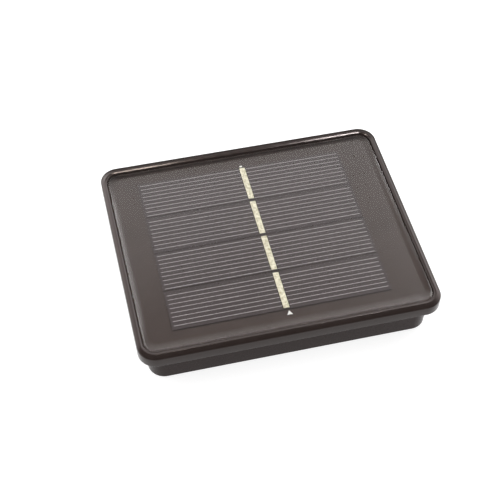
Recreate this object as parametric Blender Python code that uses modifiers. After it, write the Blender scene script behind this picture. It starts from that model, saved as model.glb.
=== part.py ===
"""Solar panel unit of a small fountain pump, as an assembly of separate pieces.

A shallow plastic tub stands on its flat base and carries a wider bezel, whose pocket holds four solar
strips under clear resin. The tub holds a rechargeable cell behind a hinged door in the base, the pump's
driver board with a slide switch, and the socket for the pump's lead in the rear wall.

Sizes are in millimetres, and MM turns them into metres. The origin is the centre of the base, +X runs
along the long side, +Y towards the rear wall with the socket, and +Z up.
"""

import math

import bmesh
import bpy
from mathutils import Matrix, Vector

MM = 0.001

# Driving sizes
WIDTH = 107.0
DEPTH = 89.6
HEIGHT = 16.5
BRIM_HEIGHT = 4.4
BRIM_CORNER = 6.5
BRIM_TOP_EDGE = 1.0
BRIM_LOWER_EDGE = 0.6
BRIM_SEAT_INSET = 2.75
BRIM_SEAT_STEP = 0.1
RIM_SIDE = 2.15
RIM_FRONT = 3.2
RIM_CORNER = 4.3
RIM_INNER_EDGE = 0.25
TUB_INSET_TOP = 3.15
TUB_INSET_BASE = 3.5
TUB_CORNER = 5.9
TUB_BASE_EDGE = 0.5
WALL = 2.5
FLOOR = 1.6
CORNER_STEPS = 6
GAP = 0.3
SKIN_GAP = 0.15

HALF_X = WIDTH / 2
HALF_Y = DEPTH / 2
BRIM_BASE = HEIGHT - BRIM_HEIGHT
TUB_TOP = BRIM_BASE - GAP
SEAT_Z = TUB_TOP - 1.0
SEAT_WALL = 1.0
LIP_OUTER = TUB_INSET_TOP + WALL + GAP
LIP_INNER = LIP_OUTER + 1.2
LIP_BASE = SEAT_Z - 0.5
BEZEL_FLOOR_UNDER = BRIM_BASE + BRIM_SEAT_STEP
BEZEL_FLOOR_TOP = 13.1

# Panel layers in the bezel's pocket, from the bottom up
BOARD_Z = (13.25, 13.85)
LINK_Z = (13.95, 14.05)
STRIP_Z = (14.2, 14.4)
RIBBON_Z = (14.5, 14.62)
RESIN_BASE = 14.75
RESIN_FLAT = 15.6
RESIN_EDGE = 16.2
MENISCUS_WIDTH = 2.8

# Solar strips: a quarter of nine cuts across half of a 156 mm wafer
WAFER = 156.0
STRIP_COUNT = 4
STRIP_PITCH = WAFER / 9
STRIP_LENGTH = WAFER / 2
STRIP_GAP = 0.5
ARRAY_CENTRE = (-1.25, 1.33)
RIBBON_WIDTH = 2.3
RIBBON_LENGTH = 16.1
RIBBON_X = -0.12

# Screws and bosses
BOSS_X = 43.8
BOSS_Y = 35.1
BOSS_RADIUS = 2.9
BOSS_BASE = 6.6
PILLAR_RADIUS = 4.0
PILLAR_TOP = BOSS_BASE - GAP
HEAD_RADIUS = 2.1
SHANK_RADIUS = 1.0

# Battery bay and door
BAY_Y = -18.0
BAY_HALF_X = 25.0
BAY_HALF_Y = 5.7
BAY_TOP = 10.3
PAD_TOP = 3.4
CELL_RADIUS = 5.25
CELL_Z = 6.65
CELL_REAR = -21.3
CELL_BODY = 43.7
HINGE_Y = -27.6
HINGE_Z = 1.2
BARREL_RADIUS = 1.1
PIN_RADIUS = 0.4
PIN_HOLE = 0.65
DOOR_HALF_X = 28.4
DOOR_FREE_Y = -9.0
DOOR_CORNER = 1.5
DOOR_Z = (0.2, 1.2)
REBATE_HALF_X = DOOR_HALF_X + 0.4
REBATE_FRONT_Y = HINGE_Y - 1.8
REBATE_TOP = 2.2
BARREL_POCKET_TOP = 2.8

# Driver board, switch and socket
BOARD_LOW = (-32.0, 4.0, 6.0)
BOARD_HIGH = (20.0, 30.0, 7.2)
STANDOFFS = ((-28.5, 26.5), (16.5, 26.5))
SWITCH_X = -20.0
SWITCH_Y = 12.0
SWITCH_TRAVEL = 2.0
SOCKET_X = 30.0
SOCKET_Z = 6.3
SOCKET_MOUTH = 43.9
LEAD_RADIUS = 0.5
GROMMET_X = 8.0
GROMMET_Y = 33.5
LEAD_SPACING = 1.9


# ---------------------------------------------------------------- scene and materials

def clear_scene():
    for old in list(bpy.data.objects):
        bpy.data.objects.remove(old, do_unlink=True)


def new_collection(name):
    collection = bpy.data.collections.new(name)
    bpy.context.scene.collection.children.link(collection)
    return collection


def new_material(name, colour, roughness, metallic=0.0, alpha=1.0):
    material = bpy.data.materials.new(name)
    material.use_nodes = True
    shader = material.node_tree.nodes["Principled BSDF"]
    shader.inputs["Base Color"].default_value = (*colour, 1.0)
    shader.inputs["Roughness"].default_value = roughness
    shader.inputs["Metallic"].default_value = metallic
    shader.inputs["Alpha"].default_value = alpha
    material.diffuse_color = (*colour, alpha)
    return material


clear_scene()
PARTS = new_collection("solar_panel_unit")
CUTTERS = new_collection("cutters")

BROWN_PLASTIC = new_material("brown_plastic", (0.055, 0.045, 0.040), 0.35)
BLACK_PLASTIC = new_material("black_plastic", (0.02, 0.02, 0.02), 0.45)
BOARD_BLACK = new_material("panel_board_black", (0.045, 0.040, 0.040), 0.4)
SILICON = new_material("silicon", (0.075, 0.062, 0.066), 0.25)
TINNED = new_material("tinned_copper", (0.83, 0.79, 0.66), 0.35, 0.8)
WHITE_INK = new_material("white_ink", (0.85, 0.85, 0.83), 0.5)
RESIN = new_material("clear_resin", (0.75, 0.72, 0.70), 0.08, 0.0, 0.3)
RUBBER = new_material("seal_rubber", (0.03, 0.03, 0.03), 0.8)
STEEL = new_material("zinc_steel", (0.62, 0.62, 0.60), 0.3, 1.0)
NICKEL = new_material("nickel", (0.70, 0.68, 0.63), 0.25, 1.0)
CELL_GREEN = new_material("cell_sleeve", (0.08, 0.30, 0.14), 0.4)
GREEN_BOARD = new_material("green_board", (0.03, 0.20, 0.08), 0.4)
CHIP_BLACK = new_material("chip_black", (0.03, 0.03, 0.032), 0.5)
FERRITE = new_material("ferrite", (0.08, 0.08, 0.085), 0.6)
CAN_SILVER = new_material("can_silver", (0.75, 0.75, 0.75), 0.3, 0.9)
RED_LEAD = new_material("red_lead", (0.55, 0.03, 0.02), 0.45)
BLACK_LEAD = new_material("black_lead", (0.02, 0.02, 0.02), 0.45)


# ---------------------------------------------------------------- meshes, in millimetres

def block(low, high, edge=0.0):
    """A box between two corners, with its edges rounded where edge is more than 0."""
    mesh = bmesh.new()
    bmesh.ops.create_cube(mesh, size=1.0)
    size = Vector(high) - Vector(low)
    centre = (Vector(high) + Vector(low)) / 2
    place = Matrix.Translation(centre) @ Matrix.Diagonal((*size, 1.0))
    bmesh.ops.transform(mesh, matrix=place, verts=mesh.verts)
    if edge:
        bmesh.ops.bevel(mesh, geom=mesh.edges[:], offset=edge, segments=2, profile=0.5, affect="EDGES")
    return mesh


def cylinder(radius, start, end, segments=24, twist=0.0):
    """A cylinder between two points, or a prism with few segments, twisted in degrees about its axis."""
    mesh = bmesh.new()
    axis = Vector(end) - Vector(start)
    bmesh.ops.create_cone(
        mesh, cap_ends=True, segments=segments, radius1=radius, radius2=radius, depth=axis.length
    )
    spin = Matrix.Rotation(math.radians(twist), 4, "Z")
    turn = Vector((0, 0, 1)).rotation_difference(axis).to_matrix().to_4x4()
    place = Matrix.Translation((Vector(start) + Vector(end)) / 2)
    bmesh.ops.transform(mesh, matrix=place @ turn @ spin, verts=mesh.verts)
    return mesh


def rounded_outline(half_x, half_y, radius, steps):
    """Points of a rectangle with round corners, centred on the origin, anticlockwise from the +X side."""
    points = []
    for quarter, (side_x, side_y) in enumerate(((1, 1), (-1, 1), (-1, -1), (1, -1))):
        for step in range(steps + 1):
            angle = math.pi / 2 * (quarter + step / steps)
            x = side_x * (half_x - radius) + radius * math.cos(angle)
            y = side_y * (half_y - radius) + radius * math.sin(angle)
            points.append((x, y))
    return points


def loft(sections, centre=(0.0, 0.0), steps=CORNER_STEPS, ring=False):
    """Rounded rectangles (half_x, half_y, radius, z) joined in turn, with caps or closed as a ring."""
    mesh = bmesh.new()
    loops = []
    for half_x, half_y, radius, z in sections:
        outline = rounded_outline(half_x, half_y, radius, steps)
        loops.append([mesh.verts.new((centre[0] + x, centre[1] + y, z)) for x, y in outline])
    count = len(loops[0])
    following = loops[1:] + loops[:1] if ring else loops[1:]
    for this, other in zip(loops, following):
        for i in range(count):
            j = (i + 1) % count
            mesh.faces.new((this[i], this[j], other[j], other[i]))
    if not ring:
        mesh.faces.new(loops[0])
        mesh.faces.new(loops[-1])
    bmesh.ops.recalc_face_normals(mesh, faces=mesh.faces)
    return mesh


def rounded_block(low, high, radius, steps=4):
    """An upright block between two corners, with round corners in plan."""
    half_x = (high[0] - low[0]) / 2
    half_y = (high[1] - low[1]) / 2
    centre = (low[0] + half_x, low[1] + half_y)
    return loft([(half_x, half_y, radius, low[2]), (half_x, half_y, radius, high[2])], centre, steps)


def inset(amount, radius, z):
    """A section that lies a distance inside the brim's outline."""
    return (HALF_X - amount, HALF_Y - amount, radius, z)


def rounded_edge(radius, from_angle, to_angle, steps):
    """Inset and rise along a quarter round of a wall's edge, as (inset, rise) from the arc's centre."""
    for step in range(steps + 1):
        angle = math.radians(from_angle + (to_angle - from_angle) * step / steps)
        yield radius * (1 - math.cos(angle)), radius * math.sin(angle)


# ---------------------------------------------------------------- objects

def add_piece(name, mesh, material, origin=(0.0, 0.0, 0.0)):
    """One named piece from a mesh in millimetres, with its own origin."""
    to_metres = Matrix.Scale(MM, 4) @ Matrix.Translation(-Vector(origin))
    bmesh.ops.transform(mesh, matrix=to_metres, verts=mesh.verts)
    data = bpy.data.meshes.new(name)
    mesh.to_mesh(data)
    mesh.free()
    data.materials.append(material)
    data.shade_smooth()
    data.set_sharp_from_angle(angle=math.radians(35))
    piece = bpy.data.objects.new(name, data)
    piece.location = Vector(origin) * MM
    PARTS.objects.link(piece)
    return piece


def apply_shape(piece, mesh, operation):
    """Join a shape to a piece or cut it away, with a Boolean modifier."""
    number = len(piece.modifiers) + 1
    bmesh.ops.transform(mesh, matrix=Matrix.Scale(MM, 4), verts=mesh.verts)
    data = bpy.data.meshes.new(f"{piece.name}_tool_{number}")
    mesh.to_mesh(data)
    mesh.free()
    tool = bpy.data.objects.new(data.name, data)
    tool.hide_render = True
    tool.display_type = "WIRE"
    CUTTERS.objects.link(tool)
    boolean = piece.modifiers.new(data.name, "BOOLEAN")
    boolean.operation = operation
    boolean.solver = "EXACT"
    boolean.object = tool


def join(piece, *meshes):
    for mesh in meshes:
        apply_shape(piece, mesh, "UNION")


def cut(piece, *meshes):
    for mesh in meshes:
        apply_shape(piece, mesh, "DIFFERENCE")


def add_turned(name, profile, material, location, direction=(0, 0, 1), steps=24):
    """A turned piece: (radius, height) points down the outer side, spun about direction."""
    data = bpy.data.meshes.new(name)
    points = [(radius * MM, 0.0, height * MM) for radius, height in profile]
    data.from_pydata(points, [(i, i + 1) for i in range(len(points) - 1)], [])
    data.materials.append(material)
    piece = bpy.data.objects.new(name, data)
    piece.location = Vector(location) * MM
    piece.rotation_mode = "QUATERNION"
    piece.rotation_quaternion = Vector((0, 0, 1)).rotation_difference(Vector(direction))
    PARTS.objects.link(piece)
    screw = piece.modifiers.new("turn", "SCREW")
    screw.axis = "Z"
    screw.angle = math.tau
    screw.steps = steps
    screw.render_steps = steps
    screw.use_merge_vertices = True
    screw.merge_threshold = 0.00001
    screw.use_smooth_shade = True
    return piece


def smooth_path(points, per_span=4):
    """Points read from a smooth curve through a route's own points."""
    route = [Vector(point) for point in points]
    route = [route[0] * 2 - route[1]] + route + [route[-1] * 2 - route[-2]]
    path = []
    for a, b, c, d in zip(route, route[1:], route[2:], route[3:]):
        for step in range(per_span):
            t = step / per_span
            bend = (2 * a - 5 * b + 4 * c - d) * t * t + (3 * b - a - 3 * c + d) * t ** 3
            path.append(b + ((c - a) * t + bend) / 2)
    path.append(route[-2])
    return path


def add_wire(name, path, radius, material):
    """A round wire along a list of points."""
    curve = bpy.data.curves.new(name, "CURVE")
    curve.dimensions = "3D"
    curve.bevel_depth = radius * MM
    curve.bevel_resolution = 2
    curve.resolution_u = 1
    curve.render_resolution_u = 0
    curve.use_fill_caps = True
    spline = curve.splines.new("POLY")
    spline.points.add(len(path) - 1)
    for point, place in zip(spline.points, path):
        point.co = (*(Vector(place) * MM), 1.0)
    curve.materials.append(material)
    PARTS.objects.link(bpy.data.objects.new(name, curve))


# ---------------------------------------------------------------- casing

def add_bezel_frame():
    """Brim, rim, pocket floor and locating lip in one moulding, with a boss for each housing screw."""
    sections = [
        inset(LIP_INNER, 1.9, BEZEL_FLOOR_UNDER),
        inset(LIP_INNER, 1.9, LIP_BASE),
        inset(LIP_OUTER, 3.1, LIP_BASE),
        inset(LIP_OUTER, 3.1, BEZEL_FLOOR_UNDER),
        inset(BRIM_SEAT_INSET, TUB_CORNER, BEZEL_FLOOR_UNDER),
        inset(BRIM_SEAT_INSET, TUB_CORNER, BRIM_BASE),
    ]
    for inwards, rise in rounded_edge(BRIM_LOWER_EDGE, -90, 0, 3):
        sections.append(inset(inwards, BRIM_CORNER - inwards, BRIM_BASE + BRIM_LOWER_EDGE + rise))
    for inwards, rise in rounded_edge(BRIM_TOP_EDGE, 0, 90, 4):
        sections.append(inset(inwards, BRIM_CORNER - inwards, HEIGHT - BRIM_TOP_EDGE + rise))
    mouth_x = HALF_X - RIM_SIDE
    mouth_y = HALF_Y - RIM_FRONT
    edge = RIM_INNER_EDGE
    draft = SKIN_GAP
    sections += [
        (mouth_x + edge, mouth_y + edge, RIM_CORNER + edge, HEIGHT),
        (mouth_x, mouth_y, RIM_CORNER, HEIGHT - edge),
        (mouth_x - draft, mouth_y - draft, RIM_CORNER - draft, BEZEL_FLOOR_TOP),
    ]
    bezel = add_piece("bezel_frame", loft(sections), BROWN_PLASTIC)
    for x in (-BOSS_X, BOSS_X):
        for y in (-BOSS_Y, BOSS_Y):
            join(bezel, cylinder(BOSS_RADIUS, (x, y, BOSS_BASE), (x, y, BEZEL_FLOOR_UNDER + 0.4), 16))
    for x in (-BOSS_X, BOSS_X):
        for y in (-BOSS_Y, BOSS_Y):
            cut(bezel, cylinder(SHANK_RADIUS + 0.2, (x, y, BOSS_BASE - 1), (x, y, 11.8), 12))
    cut(bezel, block((GROMMET_X - 4.2, GROMMET_Y - 2.2, 11.0), (GROMMET_X + 4.2, GROMMET_Y + 2.2, 14.0)))


def add_rear_tub():
    """The open tub: drafted walls, screw pillars, battery bay with the door's rebate, standoffs and holes."""
    sections = []
    for inwards, rise in rounded_edge(TUB_BASE_EDGE, -90, 0, 3):
        amount = TUB_INSET_BASE + inwards
        sections.append(inset(amount, TUB_CORNER - inwards, TUB_BASE_EDGE + rise))
    sections += [
        inset(TUB_INSET_TOP, TUB_CORNER, TUB_TOP),
        inset(TUB_INSET_TOP + SEAT_WALL, TUB_CORNER - SEAT_WALL, TUB_TOP),
        inset(TUB_INSET_TOP + SEAT_WALL, TUB_CORNER - SEAT_WALL, SEAT_Z),
        inset(TUB_INSET_TOP + WALL, TUB_CORNER - WALL, SEAT_Z),
        inset(TUB_INSET_BASE + WALL - 0.1, TUB_CORNER - WALL, FLOOR),
    ]
    tub = add_piece("rear_tub", loft(sections), BROWN_PLASTIC)

    corners = [(x, y) for x in (-BOSS_X, BOSS_X) for y in (-BOSS_Y, BOSS_Y)]
    rooted = FLOOR / 2
    for x, y in corners:
        join(tub, cylinder(PILLAR_RADIUS, (x, y, rooted), (x, y, PILLAR_TOP), 20))
    for x, y in STANDOFFS:
        join(tub, cylinder(2.3, (x, y, rooted), (x, y, BOARD_LOW[2] - 0.2), 16))
    join(tub, block((-31.5, -31.2, rooted), (31.5, -6.6, PAD_TOP)))
    join(tub, block((-26.4, BAY_Y - 7.0, PAD_TOP - 0.4), (26.4, BAY_Y + 7.0, BAY_TOP)))

    for x, y in corners:
        cut(tub, cylinder(HEAD_RADIUS + 0.4, (x, y, -1.0), (x, y, 2.2), 20))
        cut(tub, cylinder(SHANK_RADIUS + 0.4, (x, y, 1.0), (x, y, PILLAR_TOP + 1), 16))
    for x, y in STANDOFFS:
        cut(tub, cylinder(0.95, (x, y, 2.0), (x, y, BOARD_LOW[2] + 1), 12))
    rebate_low = (-REBATE_HALF_X, REBATE_FRONT_Y)
    rebate_high = (REBATE_HALF_X, DOOR_FREE_Y + GAP)
    cut(tub, rounded_block((*rebate_low, -1.0), (*rebate_high, REBATE_TOP), DOOR_CORNER + GAP))
    cut(tub, block((*rebate_low, 1.0), (REBATE_HALF_X, HINGE_Y + 1.7, BARREL_POCKET_TOP)))
    cut(tub, block((-BAY_HALF_X, BAY_Y - BAY_HALF_Y, 1.0), (BAY_HALF_X, BAY_Y + BAY_HALF_Y, BAY_TOP + 1)))
    cut(tub, hinge_rod(PIN_HOLE, 30.8, 12))
    cut(tub, block((-4.4, DOOR_FREE_Y - 1.2, 1.0), (4.4, DOOR_FREE_Y + 0.1, 3.0)))
    cut(tub, rounded_block((-6.0, DOOR_FREE_Y - 1.0, -1.0), (6.0, DOOR_FREE_Y + 3.5, 0.9), 2.0))
    cut(tub, rounded_block((SWITCH_X - 5, SWITCH_Y - 3, -1.0), (SWITCH_X + 5, SWITCH_Y + 3, 0.9), 1.5))
    cut(tub, block((SWITCH_X - 2.5, SWITCH_Y - 1.2, 0.5), (SWITCH_X + 2.5, SWITCH_Y + 1.2, 2.5)))
    cut(tub, socket_rod(3.3, 36.0, SOCKET_MOUTH))


def add_perimeter_seal():
    outer = TUB_INSET_TOP + SEAT_WALL + SKIN_GAP
    inner = TUB_INSET_TOP + WALL - SKIN_GAP
    low = SEAT_Z + SKIN_GAP
    high = BRIM_BASE - SKIN_GAP
    outside = [inset(outer, 4.7, z) for z in (low, high)]
    inside = [inset(inner, 3.6, z) for z in (high, low)]
    add_piece("perimeter_seal", loft(outside + inside, ring=True), RUBBER)


def add_cross_recess(screw, x, y, z, reach, depth):
    """Two crossed slots in a screw's head, centred on z."""
    for half_x, half_y in ((reach, reach / 4), (reach / 4, reach)):
        cut(screw, block((x - half_x, y - half_y, z - depth), (x + half_x, y + half_y, z + depth)))


def add_housing_screws():
    """Four self-tapping screws from below, their heads up inside the counterbores."""
    profile = [
        (0.0, 10.9), (SHANK_RADIUS * 0.4, 10.9), (SHANK_RADIUS, 9.6), (SHANK_RADIUS, 1.35),
        (HEAD_RADIUS, 1.35), (HEAD_RADIUS, 0.45), (HEAD_RADIUS * 0.75, 0.0), (0.0, 0.0),
    ]
    number = 0
    for x in (-BOSS_X, BOSS_X):
        for y in (-BOSS_Y, BOSS_Y):
            number += 1
            screw = add_turned(f"housing_screw_{number}", profile, STEEL, (x, y, 0.7), steps=16)
            add_cross_recess(screw, x, y, 0.7, 1.2, 0.7)


# ---------------------------------------------------------------- solar panel

def strip_edges(number):
    """Lowest and highest y of a strip's share of the array, counted from the far side."""
    far = ARRAY_CENTRE[1] + STRIP_PITCH * STRIP_COUNT / 2
    return far - STRIP_PITCH * number, far - STRIP_PITCH * (number - 1)


def add_solar_panel():
    """Backing board, strips, ribbons, links and end pads."""
    board_x = HALF_X - RIM_SIDE - 0.7
    board_y = HALF_Y - RIM_FRONT - 0.7
    outline = (board_x, board_y, RIM_CORNER - 0.7)
    add_piece("panel_board", loft([(*outline, BOARD_Z[0]), (*outline, BOARD_Z[1])]), BOARD_BLACK)

    left = ARRAY_CENTRE[0] - STRIP_LENGTH / 2
    right = ARRAY_CENTRE[0] + STRIP_LENGTH / 2
    for number in range(1, STRIP_COUNT + 1):
        near, far = strip_edges(number)
        low = (left, near + STRIP_GAP / 2, STRIP_Z[0])
        high = (right, far - STRIP_GAP / 2, STRIP_Z[1])
        add_piece(f"solar_strip_{number}", block(low, high), SILICON)
        middle = (near + far) / 2
        low = (RIBBON_X - RIBBON_WIDTH / 2, middle - RIBBON_LENGTH / 2, RIBBON_Z[0])
        high = (RIBBON_X + RIBBON_WIDTH / 2, middle + RIBBON_LENGTH / 2, RIBBON_Z[1])
        add_piece(f"tabbing_ribbon_{number}", block(low, high), TINNED)
        if number < STRIP_COUNT:
            low = (right - 8.0, near - 2.5, LINK_Z[0])
            high = (right - 4.0, near + 2.5, LINK_Z[1])
            add_piece(f"series_link_{number}", block(low, high), TINNED)

    array_far = strip_edges(1)[1]
    array_near = strip_edges(STRIP_COUNT)[0]
    low = (RIBBON_X - 0.8, array_far - 0.1, BOARD_Z[1] + SKIN_GAP)
    high = (RIBBON_X + 0.8, array_far + 0.8, BOARD_Z[1] + 0.4)
    add_piece("terminal_pad_far", block(low, high), WHITE_INK)
    arrow = cylinder(1.2, (0, 0, BOARD_Z[1] + SKIN_GAP), (0, 0, BOARD_Z[1] + 0.4), 3)
    bmesh.ops.transform(arrow, matrix=Matrix.Translation((0.4, array_near - 1.6, 0)), verts=arrow.verts)
    add_piece("terminal_pad_near", arrow, WHITE_INK)


def add_resin_cover():
    """Clear resin poured into the pocket, flat in the middle and drawn up the rim all round."""
    wall_x = HALF_X - RIM_SIDE - 0.35
    wall_y = HALF_Y - RIM_FRONT - 0.35
    sections = [(wall_x, wall_y, 3.9, RESIN_BASE), (wall_x, wall_y, 3.9, RESIN_EDGE)]
    climb = RESIN_EDGE - RESIN_FLAT
    steps = 5
    for step in range(1, steps + 1):
        share = step / steps
        inwards = MENISCUS_WIDTH * share
        height = RESIN_FLAT + climb * (1 - share) ** 2.5
        sections.append((wall_x - inwards, wall_y - inwards, 3.9 - inwards * 0.5, height))
    add_piece("resin_cover", loft(sections), RESIN)


# ---------------------------------------------------------------- battery

def hinge_rod(radius, half_length, segments):
    """A cylinder on the door's hinge line."""
    ends = ((-half_length, HINGE_Y, HINGE_Z), (half_length, HINGE_Y, HINGE_Z))
    return cylinder(radius, *ends, segments)


def add_battery_door():
    """Door in the base, turning on a steel pin along its front edge, with a snap tongue at the free edge."""
    origin = (0.0, HINGE_Y, HINGE_Z)
    plate_low = (-DOOR_HALF_X, HINGE_Y, DOOR_Z[0])
    plate = rounded_block(plate_low, (DOOR_HALF_X, DOOR_FREE_Y, DOOR_Z[1]), DOOR_CORNER)
    door = add_piece("battery_door", plate, BROWN_PLASTIC, origin)
    join(door, hinge_rod(BARREL_RADIUS, DOOR_HALF_X, 16))
    join(door, block((-4.0, DOOR_FREE_Y - 0.9, 0.6), (4.0, DOOR_FREE_Y - 0.2, 2.6)))
    cut(door, hinge_rod(PIN_HOLE, 30.0, 12))
    add_piece("door_hinge_pin", hinge_rod(PIN_RADIUS, 30.4, 12), STEEL)
    outer = (27.4, 7.2, 1.4)
    inner = (25.7, 6.2, 0.4)
    low = DOOR_Z[1] + 0.2
    high = REBATE_TOP - SKIN_GAP
    sections = [(*outer, low), (*outer, high), (*inner, high), (*inner, low)]
    add_piece("door_gasket", loft(sections, centre=(0.0, BAY_Y), steps=3, ring=True), RUBBER)


def add_battery():
    """One AAA-size rechargeable cell with a nub at +X, and the bay's contacts."""
    nub = CELL_BODY + 0.8
    profile = [
        (0.0, nub), (1.6, nub), (1.9, nub - 0.2), (1.9, CELL_BODY), (CELL_RADIUS - 0.5, CELL_BODY),
        (CELL_RADIUS, CELL_BODY - 0.5), (CELL_RADIUS, 0.4), (CELL_RADIUS - 0.4, 0.0), (0.0, 0.0),
    ]
    add_turned("battery_cell", profile, CELL_GREEN, (CELL_REAR, BAY_Y, CELL_Z), (1, 0, 0))
    for name, x in (("battery_contact_positive", 24.5), ("battery_contact_negative", -24.5)):
        low = (x - 0.15, BAY_Y - 4.2, 3.0)
        high = (x + 0.15, BAY_Y + 4.2, 10.7)
        add_piece(name, block(low, high), NICKEL)
    turns = 3
    per_turn = 14
    path = []
    for step in range(turns * per_turn + 1):
        share = step / (turns * per_turn)
        angle = math.tau * turns * share
        radius = 3.6 - 1.7 * share
        x = -24.0 + 2.3 * share
        path.append((x, BAY_Y + radius * math.cos(angle), CELL_Z + radius * math.sin(angle)))
    add_wire("battery_spring", path, 0.25, NICKEL)


# ---------------------------------------------------------------- electronics

def add_circuit_board():
    """The pump driver board on its two standoffs, its screws and its parts."""
    board = add_piece("circuit_board", block(BOARD_LOW, BOARD_HIGH), GREEN_BOARD)
    for x, y in STANDOFFS:
        cut(board, cylinder(1.3, (x, y, BOARD_LOW[2] - 1), (x, y, BOARD_HIGH[2] + 1), 12))
    profile = [
        (0.0, 1.3), (1.4, 1.3), (1.9, 0.8), (1.9, 0.0), (0.75, 0.0), (0.75, -4.2), (0.3, -4.9), (0.0, -4.9),
    ]
    for number, (x, y) in enumerate(STANDOFFS, 1):
        screw = add_turned(f"board_screw_{number}", profile, STEEL, (x, y, 7.4), steps=16)
        add_cross_recess(screw, x, y, 8.7, 1.1, 0.7)
    top = BOARD_HIGH[2] + 0.15
    add_piece("driver_chip", block((-10.5, 18.0, top), (-5.5, 22.0, top + 1.5), 0.15), CHIP_BLACK)
    add_piece("blocking_diode", block((-4.0, 24.5, top), (0.2, 27.0, top + 1.6), 0.15), CHIP_BLACK)
    for number, y in enumerate((9.0, 12.0), 1):
        low = (-9.0, y - 0.6, top)
        high = (-7.0, y + 0.6, top + 0.5)
        add_piece(f"chip_resistor_{number}", block(low, high), CHIP_BLACK)
    drum = [(0.0, 3.4), (3.2, 3.4), (3.2, 2.6), (2.5, 2.4), (2.5, 1.0), (3.2, 0.8), (3.2, 0.0), (0.0, 0.0)]
    add_turned("boost_inductor", drum, FERRITE, (2.5, 13.0, top), steps=20)
    can = [(0.0, 4.1), (2.2, 4.1), (2.5, 3.8), (2.5, 1.2), (2.35, 1.0), (2.5, 0.8), (2.5, 0.0), (0.0, 0.0)]
    add_turned("filter_capacitor", can, CAN_SILVER, (11.0, 18.0, top), steps=20)


def add_switch():
    """Slide switch under the board; its knob reaches through the tub's floor and shifts along X."""
    x, y = SWITCH_X, SWITCH_Y
    shell = block((x - 4.3, y - 2.1, 2.5), (x + 4.3, y + 2.1, 5.8))
    housing = add_piece("switch_housing", shell, BLACK_PLASTIC)
    cut(housing, block((x - 3.2, y - 1.5, 2.0), (x + 3.2, y + 1.5, 4.3)))
    sheet = block((x - 4.3, y - 2.1, 2.0), (x + 4.3, y + 2.1, 2.3))
    plate = add_piece("switch_plate", sheet, NICKEL)
    cut(plate, block((x - 2.4, y - 1.1, 1.5), (x + 2.4, y + 1.1, 2.8)))
    off = x - SWITCH_TRAVEL / 2
    base = block((off - 1.6, y - 1.2, 2.6), (off + 1.6, y + 1.2, 4.0))
    slider = add_piece("switch_slider", base, BLACK_PLASTIC, (off, y, 2.6))
    join(slider, block((off - 1.0, y - 0.8, 0.3), (off + 1.0, y + 0.8, 3.0)))


def socket_rod(radius, near, far, segments=24, twist=0.0):
    """A cylinder or prism on the socket's axis, between two distances along Y."""
    ends = ((SOCKET_X, near, SOCKET_Z), (SOCKET_X, far, SOCKET_Z))
    return cylinder(radius, *ends, segments, twist)


def add_output_socket():
    """Panel socket for the pump lead's 3.5 mm round plug, held in the rear wall by its nut."""
    rear = 31.0
    bore_end = 34.5
    length = SOCKET_MOUTH - rear
    flange = length - 1.3
    profile = [
        (0.0, bore_end - rear), (1.9, bore_end - rear), (1.9, length - 0.3), (2.2, length), (4.3, length),
        (4.6, length - 0.3), (4.6, flange), (3.0, flange), (3.0, 0.0), (0.0, 0.0),
    ]
    add_turned("output_socket", profile, BLACK_PLASTIC, (SOCKET_X, rear, SOCKET_Z), (0, 1, 0))
    pin = [(0.0, 7.6), (0.35, 7.5), (0.6, 7.0), (0.6, 0.0), (0.0, 0.0)]
    add_turned("socket_pin", pin, NICKEL, (SOCKET_X, bore_end + 0.2, SOCKET_Z), (0, 1, 0), steps=12)
    seal = add_piece("socket_seal", socket_rod(4.4, 41.7, 42.4), RUBBER)
    nut = add_piece("socket_nut", socket_rod(4.35, 36.4, 38.7, 6, twist=30.0), NICKEL)
    for ring in (seal, nut):
        cut(ring, socket_rod(3.2, 35.0, 44.0))


def add_lead(name, material, route):
    """An insulated lead along a smooth curve through its route."""
    add_wire(name, smooth_path(route), LEAD_RADIUS, material)


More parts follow.
